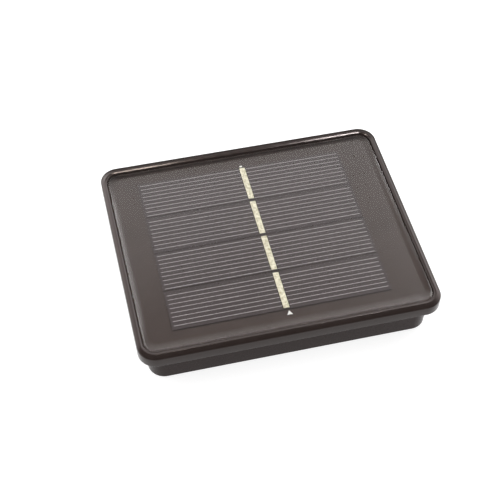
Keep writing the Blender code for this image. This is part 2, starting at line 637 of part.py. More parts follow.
def add_wiring():
    """Grommet in the bezel's slot and the six leads to the driver board."""
    low = (GROMMET_X - 3.9, GROMMET_Y - 1.9, 11.3)
    high = (GROMMET_X + 3.9, GROMMET_Y + 1.9, BEZEL_FLOOR_TOP - 0.1)
    grommet = add_piece("wire_grommet", block(low, high), RUBBER)
    entries = (GROMMET_X - LEAD_SPACING, GROMMET_X + LEAD_SPACING)
    for x in entries:
        cut(grommet, cylinder(0.75, (x, GROMMET_Y, 10.5), (x, GROMMET_Y, 14.0), 12))

    left, right = entries
    board_top = BOARD_HIGH[2] + 0.2 + LEAD_RADIUS
    under_panel = BOARD_Z[0] - SKIN_GAP
    over_bay = 11.4
    bay_exit = BAY_Y + 6.0
    add_lead("panel_lead_positive", RED_LEAD, (
        (left, GROMMET_Y, under_panel),
        (left, GROMMET_Y, 10.6),
        (left - 0.6, 31.0, 8.9),
        (left - 1.6, 26.5, board_top),
    ))
    add_lead("panel_lead_negative", BLACK_LEAD, (
        (right, GROMMET_Y, under_panel),
        (right, GROMMET_Y, 10.6),
        (right - 0.2, 31.0, 8.9),
        (right - 0.8, 26.5, board_top),
    ))
    add_lead("battery_lead_positive", RED_LEAD, (
        (24.5, BAY_Y + 1.0, over_bay),
        (24.5, bay_exit, over_bay),
        (23.5, -5.0, 10.8),
        (19.5, 2.0, 8.8),
        (14.5, 7.0, board_top),
    ))
    add_lead("battery_lead_negative", BLACK_LEAD, (
        (-24.5, BAY_Y + 1.0, over_bay),
        (-24.5, bay_exit, over_bay),
        (-25.5, -5.0, 10.8),
        (-27.0, 2.0, 8.8),
        (-27.0, 8.0, board_top),
    ))
    add_lead("output_lead_positive", RED_LEAD, (
        (29.0, 30.4, 7.2),
        (28.2, 27.0, 8.0),
        (24.0, 22.5, 9.2),
        (17.5, 21.0, board_top),
    ))
    add_lead("output_lead_negative", BLACK_LEAD, (
        (31.0, 30.4, 5.6),
        (31.2, 25.0, 6.6),
        (26.0, 16.5, 8.9),
        (17.5, 15.0, board_top),
    ))


add_rear_tub()
add_bezel_frame()
add_perimeter_seal()
add_housing_screws()
add_solar_panel()
add_resin_cover()
add_battery_door()
add_battery()
add_circuit_board()
add_switch()
add_output_socket()
add_wiring()
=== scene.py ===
"""Looks of the solar panel unit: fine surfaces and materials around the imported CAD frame.

Shapes are built in millimetres in the frame's own axes, and MM turns them into metres. The origin is the
centre of the base, +X runs along the long side, +Y towards the rear wall with the socket, and +Z up.
"""
import math

import bmesh
import bpy
from mathutils import Matrix, Vector, noise


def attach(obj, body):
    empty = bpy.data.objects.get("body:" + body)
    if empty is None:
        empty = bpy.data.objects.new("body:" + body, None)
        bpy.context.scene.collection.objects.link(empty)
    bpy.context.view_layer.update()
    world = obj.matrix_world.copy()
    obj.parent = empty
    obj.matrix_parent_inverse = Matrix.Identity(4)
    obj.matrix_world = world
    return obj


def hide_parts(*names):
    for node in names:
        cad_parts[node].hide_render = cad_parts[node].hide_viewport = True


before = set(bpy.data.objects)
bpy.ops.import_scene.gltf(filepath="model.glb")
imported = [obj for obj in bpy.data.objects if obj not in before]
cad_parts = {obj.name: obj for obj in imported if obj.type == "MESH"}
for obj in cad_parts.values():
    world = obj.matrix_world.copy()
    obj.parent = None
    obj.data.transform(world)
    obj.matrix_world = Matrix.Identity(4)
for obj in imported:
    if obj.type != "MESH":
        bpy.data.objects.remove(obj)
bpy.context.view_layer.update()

MM = 0.001

# Casing sizes, the same as the CAD model's
HALF_X = 53.5
HALF_Y = 44.8
HEIGHT = 16.5
BRIM_BASE = 12.1
BRIM_CORNER = 6.5
RIM_SIDE = 2.25
RIM_FRONT = 3.35
RIM_CORNER = 4.3
LOWER_EDGE = 0.3
# Arcs across the front rim: radius, first and last tilt of the surface away from the pocket, steps
RIM_ARCS = (
    (0.45, 90, 9, 10), (56.0, 9, 7.5, 2), (0.25, 7.5, -7.5, 3), (48.0, -7.5, -8.4, 2), (0.6, -8.4, -80, 9),
)
TUB_INSET_TOP = 3.15
TUB_INSET_BASE = 3.5
TUB_CORNER = 5.9
TUB_TOP = 11.8
WALL = 2.5
FLOOR = 1.6
FLOOR_UNDER = 12.2
FLOOR_TOP = 13.1
LIP_OUTER = 5.95
LIP_INNER = 7.15
LIP_BASE = 10.3
BOSSES = [(x, y) for x in (-43.8, 43.8) for y in (-35.1, 35.1)]
CORNER_STEPS = 16

# Panel layers, counted up from the backing board. The resin climbs by these heights at the pocket's wall,
# over the width of each side's meniscus, and stands off the walls along X by a slit.
BOARD_Z = (13.25, 13.85)
STRIP_Z = (14.2, 14.4)
RIBBON_Z = (14.5, 14.62)
RESIN_FLAT = 15.6
RESIN_CLIMB = 0.24
RESIN_CREEP = 0.14
RESIN_SIDE_CLIMB = 0.40
RESIN_FAR_CLIMB = 0.2
RESIN_GAP = 0.02
SIDE_SLIT = 0.32
MENISCUS_SIDE = 2.7
MENISCUS_FRONT = 3.9
MENISCUS_FAR = 2.3
STRIP_PITCH = 156.0 / 9
STRIP_LENGTH = 78.0
STRIP_GAP = 0.5
ARRAY_CENTRE = (-1.25, 1.33)
FINGER_PITCH = 156.0 / 83
FINGER_WIDTH = 0.2
FINGER_HEIGHT = 0.03
FINGER_MARGIN = 0.75
# Even and odd strips: distance of the first finger line from the strip's far edge, and number of lines
FINGERS = ((2.25, 8), (1.4, 9))
# A dark band round each ribbon: how far it reaches past the ribbon's sides and ends, and how high it stands
BORDER_MARGIN = (0.22, 0.2)
BORDER_HEIGHT = 0.045
RIBBON_X = -0.12
RIBBON_WIDTH = 2.12
RIBBON_LENGTH = 15.9

# Battery bay, door, switch and socket
HINGE = (-27.6, 1.2)
DOOR_HALF_X = 28.4
DOOR_FREE_Y = -9.0
DOOR_Z = (0.2, 1.2)
BAY_Y = -18.0
CELL_Z = 6.65
SWITCH = (-20.0, 12.0)
SOCKET = (30.0, 6.3)

# Driver board and wiring
PCB_LOW = (-32.0, 4.0, 6.0)
PCB_HIGH = (20.0, 30.0, 7.2)
STANDOFFS = ((-28.5, 26.5), (16.5, 26.5))
GROMMET = (8.0, 33.5)
PCB_HOLE_Z = (5.0, 8.2)
PARTS_Z = PCB_HIGH[2] + 0.15
PART_PADS = ((-9.9, 9.0), (-6.1, 9.0), (-9.9, 12.0), (-6.1, 12.0), (-4.9, 25.75), (1.1, 25.75))
INDUCTOR = (2.5, 13.0)
CAPACITOR = (11.0, 18.0)
PCB_TRACKS = (
    ((4.5, 26.5), (4.5, 25.75), (1.1, 25.75)), ((-4.9, 25.75), (-12.0, 25.75), (-12.0, 22.3), (-9.9, 22.3)),
    ((9.1, 26.5), (9.1, 23.4), (17.5, 23.4), (17.5, 21.0)), ((-27.0, 8.0), (-27.0, 21.0), (-9.9, 21.0)),
    ((14.5, 7.0), (2.5, 7.0), (2.5, 9.4)), ((-6.1, 9.0), (-1.5, 9.0), (-1.5, 13.0), (-0.9, 13.0)),
    ((-6.1, 12.0), (-4.0, 12.0), (-4.0, 18.0), (-6.1, 18.0)), ((-9.9, 9.0), (-20.0, 9.0), (-20.0, 15.0)),
    ((-9.9, 12.0), (-12.5, 12.0), (-12.5, 18.3), (-9.9, 18.3)), ((17.5, 15.0), (11.0, 15.0), (11.0, 16.0)),
    ((5.9, 13.0), (7.6, 13.0), (7.6, 19.5), (8.8, 19.5)), ((-28.5, 22.6), (-14.0, 22.6), (-14.0, 25.75)),
)
LEAD_Z = 7.9
# Each lead's route from its terminal to the board
LEADS = {
    "panel_wire_positive": ((6.1, 33.5, 13.1), (6.1, 33.5, 10.6), (5.5, 31.0, 8.9), (4.5, 26.5, LEAD_Z)),
    "panel_wire_negative": ((9.9, 33.5, 13.1), (9.9, 33.5, 10.6), (9.7, 31.0, 8.9), (9.1, 26.5, LEAD_Z)),
    "battery_wire_positive": (
        (24.5, -17.0, 11.4), (24.5, -12.0, 11.4), (23.5, -5.0, 10.8), (19.5, 2.0, 8.8), (14.5, 7.0, LEAD_Z),
    ),
    "battery_wire_negative": (
        (-24.5, -17.0, 11.4), (-24.5, -12.0, 11.4), (-25.5, -5.0, 10.8), (-27.0, 2.0, 8.8),
        (-27.0, 8.0, LEAD_Z),
    ),
    "output_wire_positive": ((29.0, 30.4, 7.2), (28.2, 27.0, 8.0), (24.0, 22.5, 9.2), (17.5, 21.0, LEAD_Z)),
    "output_wire_negative": ((31.0, 30.4, 5.6), (31.2, 25.0, 6.6), (26.0, 16.5, 8.9), (17.5, 15.0, LEAD_Z)),
}
LEAD_ENDS = [route[-1][:2] for route in LEADS.values()]


# ---------------------------------------------------------------- materials

WARM_GLOSS = (1.0, 0.86, 0.84, 1.0)


class Look:
    """A material on one Principled shader, whose patterns are laid out in millimetres."""

    def __init__(self, name, colour, roughness, metallic=0.0, **sockets):
        self.material = bpy.data.materials.new(name)
        self.material.use_nodes = True
        self.tree = self.material.node_tree
        self.shader = self.tree.nodes["Principled BSDF"]
        self.set("Base Color", (*colour, 1.0))
        self.set("Roughness", roughness)
        self.set("Metallic", metallic)
        for socket, value in sockets.items():
            self.set(socket.replace("_", " "), value)
        self.material.diffuse_color = (*colour, 1.0)
        self.place = self.node("ShaderNodeTexCoord").outputs["Object"]
        self.height = None

    def set(self, socket, value):
        self.shader.inputs[socket].default_value = value

    def node(self, kind, **values):
        node = self.tree.nodes.new(kind)
        for name, value in values.items():
            setattr(node, name, value)
        return node

    def link(self, output, socket):
        self.tree.links.new(output, socket)

    def coordinates(self, stretch=(1.0, 1.0, 1.0)):
        """Object coordinates in millimetres, each divided by its stretch."""
        mapping = self.node("ShaderNodeMapping")
        mapping.inputs["Scale"].default_value = [1 / MM / s for s in stretch]
        self.link(self.place, mapping.inputs["Vector"])
        return mapping.outputs["Vector"]

    def cloud(self, size, detail=3.0, stretch=(1.0, 1.0, 1.0), distortion=0.0):
        """A noise pattern whose features are about size millimetres across."""
        texture = self.node("ShaderNodeTexNoise")
        texture.inputs["Scale"].default_value = 1 / size
        texture.inputs["Detail"].default_value = detail
        texture.inputs["Distortion"].default_value = distortion
        self.link(self.coordinates(stretch), texture.inputs["Vector"])
        return texture.outputs["Fac"]

    def cells(self, size, feature="F1"):
        """Distance to the nearest of scattered points about size millimetres apart."""
        texture = self.node("ShaderNodeTexVoronoi", feature=feature)
        texture.inputs["Scale"].default_value = 1 / size
        self.link(self.coordinates(), texture.inputs["Vector"])
        return texture.outputs["Distance"]

    def remap(self, factor, low, high, to_low=0.0, to_high=1.0):
        """A factor carried from low..high over to to_low..to_high."""
        node = self.node("ShaderNodeMapRange")
        ends = {"From Min": low, "From Max": high, "To Min": to_low, "To Max": to_high}
        for socket, value in ends.items():
            node.inputs[socket].default_value = value
        self.link(factor, node.inputs["Value"])
        return node.outputs["Result"]

    def blend(self, factor, first, second):
        """A colour from first to second by a factor. Each is a colour or another node's output."""
        mix = self.node("ShaderNodeMix", data_type="RGBA")
        self.link(factor, mix.inputs["Factor"])
        for socket, colour in ((mix.inputs[6], first), (mix.inputs[7], second)):
            if isinstance(colour, bpy.types.NodeSocket):
                self.link(colour, socket)
            else:
                socket.default_value = (*colour, 1.0)
        return mix.outputs[2]

    def tones(self, pattern, dark, light):
        """A colour that runs from dark to light with a pattern."""
        return self.blend(self.remap(pattern, 0.3, 0.7), dark, light)

    def colour(self, output):
        self.link(output, self.shader.inputs["Base Color"])
        return self

    def roughness(self, factor, low, high):
        self.link(self.remap(factor, 0.3, 0.7, low, high), self.shader.inputs["Roughness"])
        return self

    def bump(self, factor, depth):
        """Relief of a depth in millimetres, on top of any relief added before."""
        bump = self.node("ShaderNodeBump")
        bump.inputs["Distance"].default_value = depth * MM
        self.link(factor, bump.inputs["Height"])
        if self.height:
            self.link(self.height, bump.inputs["Normal"])
        self.height = bump.outputs["Normal"]
        self.link(self.height, self.shader.inputs["Normal"])
        return self


def moulded(name, dark, light, roughness, grain=0.35, depth=0.004, gloss=0.4):
    """Moulded plastic: cloudy colour, uneven gloss and a fine skin grain."""
    look = Look(name, dark, roughness[0], Specular_IOR_Level=gloss, Specular_Tint=WARM_GLOSS)
    flow = look.cloud(9.0, 4.0, distortion=0.6)
    look.colour(look.tones(flow, dark, light))
    look.roughness(look.cloud(3.0, 5.0), *roughness)
    look.bump(look.cloud(grain, 2.0), depth)
    return look.material


def metal(name, dark, light, roughness, stretch=(1.0, 1.0, 1.0)):
    """Plated metal with drawn or rolled streaks."""
    look = Look(name, light, roughness[0], metallic=1.0)
    streaks = look.cloud(0.5, 5.0, stretch)
    look.colour(look.tones(streaks, dark, light))
    look.roughness(streaks, *roughness)
    look.bump(streaks, 0.003)
    return look.material


def clear_resin():
    look = Look("clear_resin_look", (0.97, 0.955, 0.945), 0.04, Transmission_Weight=1.0, IOR=1.4)
    look.roughness(look.cloud(2.5, 4.0), 0.02, 0.06)
    look.bump(look.cloud(11.0, 1.0), 0.012)
    return look.material


def silicon():
    look = Look("silicon_look", (0.045, 0.036, 0.036), 0.35, Specular_IOR_Level=0.0)
    tone = look.cloud(14.0, 2.0, (2.0, 1.0, 1.0))
    saw = look.cloud(0.25, 2.0, (40.0, 1.0, 1.0))
    base = look.tones(tone, (0.045, 0.0365, 0.037), (0.053, 0.043, 0.0435))
    look.colour(look.blend(look.remap(saw, 0.35, 0.65, 0.0, 0.3), base, (0.068, 0.056, 0.056)))
    look.roughness(tone, 0.3, 0.42)
    return look.material


def grained(name, base, dark, light, roughness, grain, depth, **sockets):
    """A surface whose colour and relief follow one pattern. grain is the pattern's size and detail."""
    look = Look(name, base, roughness, **sockets)
    pattern = look.cloud(*grain)
    look.colour(look.tones(pattern, dark, light))
    look.bump(pattern, depth)
    return look.material


def tinned_copper():
    look = Look("tinned_copper_look", (0.60, 0.57, 0.44), 0.42, Specular_IOR_Level=0.2)
    pools = look.cloud(0.9, 4.0, distortion=0.8)
    pits = look.cells(0.7)
    body = look.blend(look.remap(pools, 0.38, 0.6), (0.40, 0.37, 0.25), (0.67, 0.645, 0.51))
    look.colour(look.blend(look.remap(pits, 0.0, 0.25, 0.6, 0.0), body, (0.22, 0.20, 0.12)))
    look.roughness(pools, 0.25, 0.5)
    look.bump(pools, 0.05)
    return look.material


def printed_board(name, dark, light):
    """Solder mask over woven glass."""
    look = Look(name, dark, 0.4)
    weave = look.cloud(0.5, 1.0, (3.0, 1.0, 1.0))
    cross = look.cloud(0.5, 1.0, (1.0, 3.0, 1.0))
    tone = look.blend(look.remap(weave, 0.35, 0.65), dark, light)
    look.colour(look.blend(look.remap(cross, 0.35, 0.65, 0.0, 0.5), tone, dark))
    look.bump(weave, 0.004)
    look.bump(cross, 0.004)
    return look.material


def bonded_film(name, dark, light):
    """Dark film under the resin, which bonds to it, so it has no gloss of its own."""
    look = Look(name, dark, 0.6, Specular_IOR_Level=0.0)
    haze = look.cloud(16.0, 3.0, distortion=0.4)
    grain = look.cloud(0.9, 2.0)
    tone = look.tones(haze, dark, light)
    look.colour(look.blend(look.remap(grain, 0.3, 0.7, 0.0, 0.04), tone, (0.06, 0.05, 0.045)))
    return look.material


def insulation(name, dark, light):
    look = Look(name, dark, 0.42)
    look.colour(look.tones(look.cloud(1.5, 3.0), dark, light))
    look.bump(look.cloud(0.3, 2.0), 0.004)
    return look.material


BROWN = moulded(
    "brown_plastic_look", (0.0145, 0.0100, 0.0088), (0.0185, 0.0133, 0.0118), (0.10, 0.15),
    depth=0.001, gloss=0.26,
)
# Partly painted shade: the tub's plastic is the brim's with a redder tone, but a little darker and much
# less glossy, which darkens the tub wall set back under the brim
SHADED_TUB_BROWN = moulded(
    "tub_plastic_painted_shade_look", (0.0150, 0.0088, 0.0080), (0.0185, 0.0115, 0.0105), (0.22, 0.32),
    depth=0.002, gloss=0.12,
)
BLACK = moulded("black_plastic_look", (0.012, 0.012, 0.012), (0.020, 0.020, 0.020), (0.38, 0.50))
RESIN = clear_resin()
SILICON = silicon()
PASTE = grained(
    "silver_paste_look", (0.22, 0.20, 0.20), (0.265, 0.248, 0.248), (0.43, 0.406, 0.406), 0.5,
    grain=(1.3, 4.0), depth=0.01, Specular_IOR_Level=0.0,
)
TINNED = tinned_copper()
# A dark band round each ribbon
RIBBON_BORDER = bonded_film("dark_ribbon_border_look", (0.012, 0.0105, 0.006), (0.022, 0.019, 0.011))
WHITE = grained(
    "white_solder_look", (0.88, 0.88, 0.85), (0.60, 0.59, 0.56), (0.78, 0.78, 0.76), 0.45,
    grain=(0.5, 3.0), depth=0.02,
)
RUBBER = grained(
    "rubber_look", (0.022, 0.022, 0.022), (0.016, 0.016, 0.016), (0.032, 0.031, 0.030), 0.75,
    grain=(0.6, 5.0), depth=0.01,
)
PANEL_BOARD = bonded_film("panel_board_look", (0.047, 0.0355, 0.032), (0.056, 0.0425, 0.0385))
# A dark look for the series links, close to the backing board's
DARK_LINK = bonded_film("dark_link_look", (0.042, 0.032, 0.029), (0.050, 0.038, 0.034))
TRACK = printed_board("masked_track_look", (0.02, 0.16, 0.06), (0.03, 0.20, 0.08))
GREEN_BOARD = printed_board("green_board_look", (0.012, 0.10, 0.035), (0.02, 0.15, 0.055))
ZINC = metal("zinc_steel_look", (0.42, 0.42, 0.41), (0.62, 0.62, 0.60), (0.25, 0.42))
NICKEL = metal("nickel_look", (0.52, 0.50, 0.46), (0.72, 0.70, 0.65), (0.18, 0.34), (1.0, 1.0, 8.0))
CAN = metal("can_silver_look", (0.60, 0.60, 0.60), (0.78, 0.78, 0.78), (0.25, 0.38), (1.0, 1.0, 6.0))
SLEEVE = moulded("cell_sleeve_look", (0.04, 0.20, 0.08), (0.06, 0.26, 0.11), (0.28, 0.36), grain=0.8)
CHIP = moulded("chip_black_look", (0.016, 0.016, 0.017), (0.030, 0.030, 0.031), (0.45, 0.60), depth=0.010)
FERRITE = moulded("ferrite_look", (0.035, 0.035, 0.037), (0.070, 0.070, 0.074), (0.50, 0.70), depth=0.015)
RED_WIRE = insulation("red_lead_look", (0.36, 0.012, 0.009), (0.46, 0.02, 0.014))
BLACK_WIRE = insulation("black_lead_look", (0.012, 0.012, 0.012), (0.022, 0.022, 0.022))
SLEEVE_BAND = moulded("sleeve_band_look", (0.60, 0.62, 0.60), (0.72, 0.74, 0.72), (0.28, 0.36), grain=0.8)
COPPER = metal("enamelled_copper_look", (0.45, 0.17, 0.07), (0.62, 0.26, 0.11), (0.25, 0.40))
SOLDER = metal("solder_joint_look", (0.55, 0.55, 0.54), (0.74, 0.74, 0.73), (0.22, 0.36))


# ---------------------------------------------------------------- meshes, in millimetres

def rounded_outline(half_x, half_y, radius, steps, side_cuts=0):
    """Points of a rectangle with round corners, centred on the origin, anticlockwise from the +X side.

    side_cuts is how many more points each of the two X sides gets between its corners.
    """
    points = []
    for quarter, (side_x, side_y) in enumerate(((1, 1), (-1, 1), (-1, -1), (1, -1))):
        for step in range(steps + 1):
            angle = math.pi / 2 * (quarter + step / steps)
            x = side_x * (half_x - radius) + radius * math.cos(angle)
            y = side_y * (half_y - radius) + radius * math.sin(angle)
            points.append((x, y))
        if side_x * side_y < 0:
            x, start = points[-1]
            points.extend((x, start * (1 - 2 * cut / (side_cuts + 1))) for cut in range(1, side_cuts + 1))
    return points


def join_rings(mesh, rings, closed=False, caps=True):
    """Faces from each ring of vertices to the next, and from the last to the first if closed.

    A ring may be a single vertex. Caps fill the first and the last ring.
    """
    following = rings[1:] + rings[:1] if closed else rings[1:]
    for this, other in zip(rings, following):
        for i in range(max(len(this), len(other))):
            places = ((this, i), (this, i + 1), (other, i + 1), (other, i))
            corners = [ring[place % len(ring)] for ring, place in places]
            mesh.faces.new(list(dict.fromkeys(corners)))
    if caps and not closed:
        mesh.faces.new(rings[0])
        mesh.faces.new(rings[-1])
    bmesh.ops.recalc_face_normals(mesh, faces=mesh.faces)
    return mesh


def loft(sections, centre=(0.0, 0.0), steps=CORNER_STEPS, closed=False, side_cuts=0):
    """Rounded rectangles (half_x, half_y, radius, z) joined in turn. A fifth number moves one along Y."""
    mesh = bmesh.new()
    rings = []
    for half_x, half_y, radius, z, *shift in sections:
        outline = rounded_outline(half_x, half_y, max(radius, 0.05), steps, side_cuts)
        middle = centre[1] + sum(shift)
        rings.append([mesh.verts.new((centre[0] + x, middle + y, z)) for x, y in outline])
    return join_rings(mesh, rings, closed)


def add_box(mesh, low, high, material=0):
    """Put one more box into a mesh."""
    made = bmesh.ops.create_cube(mesh, size=1.0)["verts"]
    size = Vector(high) - Vector(low)
    place = Matrix.Translation((Vector(high) + Vector(low)) / 2)
    bmesh.ops.transform(mesh, matrix=place @ Matrix.Diagonal((*size, 1.0)), verts=made)
    for face in {face for vert in made for face in vert.link_faces}:
        face.material_index = material


def block(low, high):
    mesh = bmesh.new()
    add_box(mesh, low, high)
    return mesh


def around(centre, half, z):
    """Lowest and highest corners of a box around a place in plan, from its half sizes and its z range."""
    low = (centre[0] - half[0], centre[1] - half[1], z[0])
    return low, (centre[0] + half[0], centre[1] + half[1], z[1])


def crossed(centre, long, thin, z):
    """Two crossed bars, to cut a screwdriver's slots or a score."""
    return [block(*around(centre, half, z)) for half in ((long, thin), (thin, long))]


def rounded_block(low, high, radius, steps=6):
    """An upright block between two corners, with round corners in plan."""
    half_x = (high[0] - low[0]) / 2
    half_y = (high[1] - low[1]) / 2
    centre = (low[0] + half_x, low[1] + half_y)
    return loft([(half_x, half_y, radius, low[2]), (half_x, half_y, radius, high[2])], centre, steps)


def rod(radius, start, end, segments=48, twist=0.0):
    """A cylinder between two points, or a prism with few segments, twisted in degrees about its axis."""
    mesh = bmesh.new()
    axis = Vector(end) - Vector(start)
    bmesh.ops.create_cone(
        mesh, cap_ends=True, segments=segments, radius1=radius, radius2=radius, depth=axis.length,
    )
    spin = Matrix.Rotation(math.radians(twist), 4, "Z")
    turn = Vector((0, 0, 1)).rotation_difference(axis).to_matrix().to_4x4()
    place = Matrix.Translation((Vector(start) + Vector(end)) / 2)
    bmesh.ops.transform(mesh, matrix=place @ turn @ spin, verts=mesh.verts)
    return mesh


def posts(places, radius, z, segments=48):
    """Upright rods at places in plan, over a z range."""
    return [rod(radius, (x, y, z[0]), (x, y, z[1]), segments) for x, y in places]


def turned(profile, location, direction=(0, 0, 1), segments=64):
    """A closed turned shape from (radius, height) points, spun about direction."""
    mesh = bmesh.new()
    turn = Vector((0, 0, 1)).rotation_difference(Vector(direction)).to_matrix().to_4x4()
    place = Matrix.Translation(Vector(location)) @ turn
    rings = []
    for radius, height in profile:
        if radius == 0.0:
            rings.append([mesh.verts.new(place @ Vector((0, 0, height)))])
            continue
        ring = []
        for i in range(segments):
            angle = math.tau * i / segments
            spot = Vector((radius * math.cos(angle), radius * math.sin(angle), height))
            ring.append(mesh.verts.new(place @ spot))
        rings.append(ring)
    return join_rings(mesh, rings, caps=False)


def inset(amount, radius, z):
    """A section that lies a distance inside the brim's outline."""
    return (HALF_X - amount, HALF_Y - amount, radius, z)


# ---------------------------------------------------------------- pieces

def to_object(name, mesh, *materials):
    bmesh.ops.scale(mesh, vec=(MM, MM, MM), verts=mesh.verts)
    data = bpy.data.meshes.new(name)
    mesh.to_mesh(data)
    mesh.free()
    for material in materials:
        data.materials.append(material)
    piece = bpy.data.objects.new(name, data)
    bpy.context.scene.collection.objects.link(piece)
    return piece


def bake(piece):
    """Apply a piece's modifiers to its mesh."""
    bpy.context.view_layer.update()
    evaluated = piece.evaluated_get(bpy.context.evaluated_depsgraph_get())
    data = bpy.data.meshes.new_from_object(evaluated)
    old = piece.data
    piece.modifiers.clear()
    piece.data = data
    bpy.data.meshes.remove(old)


def shape(piece, meshes, operation):
    """Join shapes to a piece or cut them away."""
    tools = []
    for mesh in meshes:
        tool = to_object("tool", mesh)
        tools.append(tool)
        boolean = piece.modifiers.new("boolean", "BOOLEAN")
        boolean.operation = operation
        boolean.solver = "EXACT"
        boolean.object = tool
    bake(piece)
    for tool in tools:
        data = tool.data
        bpy.data.objects.remove(tool)
        bpy.data.meshes.remove(data)


def soften(piece, width, segments=2, angle=40):
    """Round a piece's sharp edges."""
    bevel = piece.modifiers.new("soften", "BEVEL")
    bevel.width = width * MM
    bevel.segments = segments
    bevel.limit_method = "ANGLE"
    bevel.angle_limit = math.radians(angle)
    bevel.harden_normals = False
    bevel.use_clamp_overlap = True
    bake(piece)


def finish_piece(piece, slot, *nodes, body="housing", angle=35):
    piece.data.shade_smooth()
    piece.data.set_sharp_from_angle(angle=math.radians(angle))
    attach(piece, body)
    if nodes:
        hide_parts(*nodes)
    return piece


def arc(centre_in, centre_z, radius, from_angle, to_angle, steps):
    """(inset, z) along an arc: 0 degrees points outward from the casing and 90 up."""
    for step in range(steps + 1):
        angle = math.radians(from_angle + (to_angle - from_angle) * step / steps)
        yield centre_in - radius * math.cos(angle), centre_z + radius * math.sin(angle)


# ---------------------------------------------------------------- casing

def rim_section(share, z):
    """A section a share of the way across the rim, from 0 at the outer wall to 1 at the pocket's mouth."""
    half_x = HALF_X - RIM_SIDE * share
    half_y = HALF_Y - RIM_FRONT * share
    return (half_x, half_y, BRIM_CORNER + (RIM_CORNER - BRIM_CORNER) * share, z)


def pocket_section(clearance, z, side=0.0, front=0.0, far=0.0):
    """A section clear of the pocket's wall all round, and further in at the sides, front and far end."""
    half_x = HALF_X - RIM_SIDE - clearance - side
    half_y = HALF_Y - RIM_FRONT - clearance - (front + far) / 2
    return (half_x, half_y, RIM_CORNER - clearance - 0.6 * side, z, (front - far) / 2)


def rim_profile():
    """(inwards, height against the crest) points across the front rim, from outer wall to pocket."""
    points = [(0.0, 0.0)]
    for radius, from_tilt, to_tilt, steps in RIM_ARCS:
        inwards, rise = points[-1]
        start = math.radians(from_tilt)
        for step in range(1, steps + 1):
            tilt = start + math.radians(to_tilt - from_tilt) * step / steps
            across = radius * (math.sin(start) - math.sin(tilt))
            up = radius * (math.cos(tilt) - math.cos(start))
            points.append((inwards + across, rise + up))
    crest = max(rise for _, rise in points)
    return [(inwards, rise - crest) for inwards, rise in points]


def rim_sections():
    """The brim's outside from its lower edge up, then across the rim."""
    for inwards, z in arc(LOWER_EDGE, BRIM_BASE + LOWER_EDGE, LOWER_EDGE, -90, 0, 5):
        yield inset(inwards, BRIM_CORNER - inwards, z)
    profile = rim_profile()
    width = profile[-1][0]
    for inwards, height in profile:
        yield rim_section(inwards / width, HEIGHT + height)


def make_bezel():
    """Brim with its rim and pocket, the lip that drops into the tub, and a boss for each case screw."""
    lip_corners = (3.1, 1.9)
    over_tub = 2.75
    wire_slot = ((3.8, 31.3, 11.0), (12.2, 35.7, 14.0))
    sections = [
        inset(LIP_INNER, lip_corners[1], FLOOR_UNDER),
        inset(LIP_INNER, lip_corners[1], LIP_BASE),
        inset(LIP_OUTER, lip_corners[0], LIP_BASE),
        inset(LIP_OUTER, lip_corners[0], FLOOR_UNDER),
        inset(over_tub, TUB_CORNER, FLOOR_UNDER),
        inset(over_tub, TUB_CORNER, BRIM_BASE),
    ]
    sections += rim_sections()
    sections.append(rim_section(1.0, FLOOR_TOP))
    bezel = to_object("bezel_shell", loft(sections), BROWN)
    shape(bezel, posts(BOSSES, 2.9, (6.6, FLOOR_UNDER + 0.4)), "UNION")
    shape(bezel, posts(BOSSES, 1.2, (5.6, 11.8)) + [block(*wire_slot)], "DIFFERENCE")
    finish_piece(bezel, "brown_plastic", "bezel_frame")


def tub_additions():
    """Bosses, standoffs, the frame round the door and the walls of the battery bay."""
    rooted = FLOOR / 2
    door_frame = ((-31.5, -31.2, rooted), (31.5, -6.6, 3.4))
    bay_walls = ((-26.4, -25.0, 3.0), (26.4, -11.0, 10.3))
    added = posts(BOSSES, 4.0, (rooted, 6.3)) + posts(STANDOFFS, 2.3, (rooted, 5.8))
    return added + [block(*door_frame), block(*bay_walls)]


def tub_removals():
    """Screw holes, the bay, and the openings for the door, its hinge and tongue, the switch and socket."""
    hinge_y = HINGE[0]
    screw_head, screw_shank, standoff_hole = (-1.0, 2.2), (1.0, 7.3), (2.0, 7.0)
    removed = posts(BOSSES, 2.5, screw_head) + posts(BOSSES, 1.4, screw_shank)
    removed += posts(STANDOFFS, 0.95, standoff_hole)
    opening = ((-28.8, hinge_y - 1.8, -1.0), (28.8, DOOR_FREE_Y + 0.3, 2.2))
    knuckle_space = ((-28.8, hinge_y - 1.8, 1.0), (28.8, hinge_y + 1.7, 2.8))
    bay = ((-25.0, -23.7, 1.0), (25.0, -12.3, 11.3))
    tongue_slot = ((-4.4, DOOR_FREE_Y - 1.2, 1.0), (4.4, DOOR_FREE_Y + 0.1, 3.0))
    finger_dish = ((-6.0, DOOR_FREE_Y - 1.0, -1.0), (6.0, DOOR_FREE_Y + 3.5, 0.9))
    removed += [
        rounded_block(*opening, 1.8),
        block(*knuckle_space),
        block(*bay),
        hinge_line(0.65, 30.8),
        block(*tongue_slot),
        rounded_block(*finger_dish, 2.0),
        rounded_block(*around(SWITCH, (5.0, 3.0), (-1.0, 0.9)), 1.5),
        block(*around(SWITCH, (2.5, 1.2), (0.5, 2.5))),
        socket_line(3.3, 36.0, 43.9, 48),
    ]
    return removed


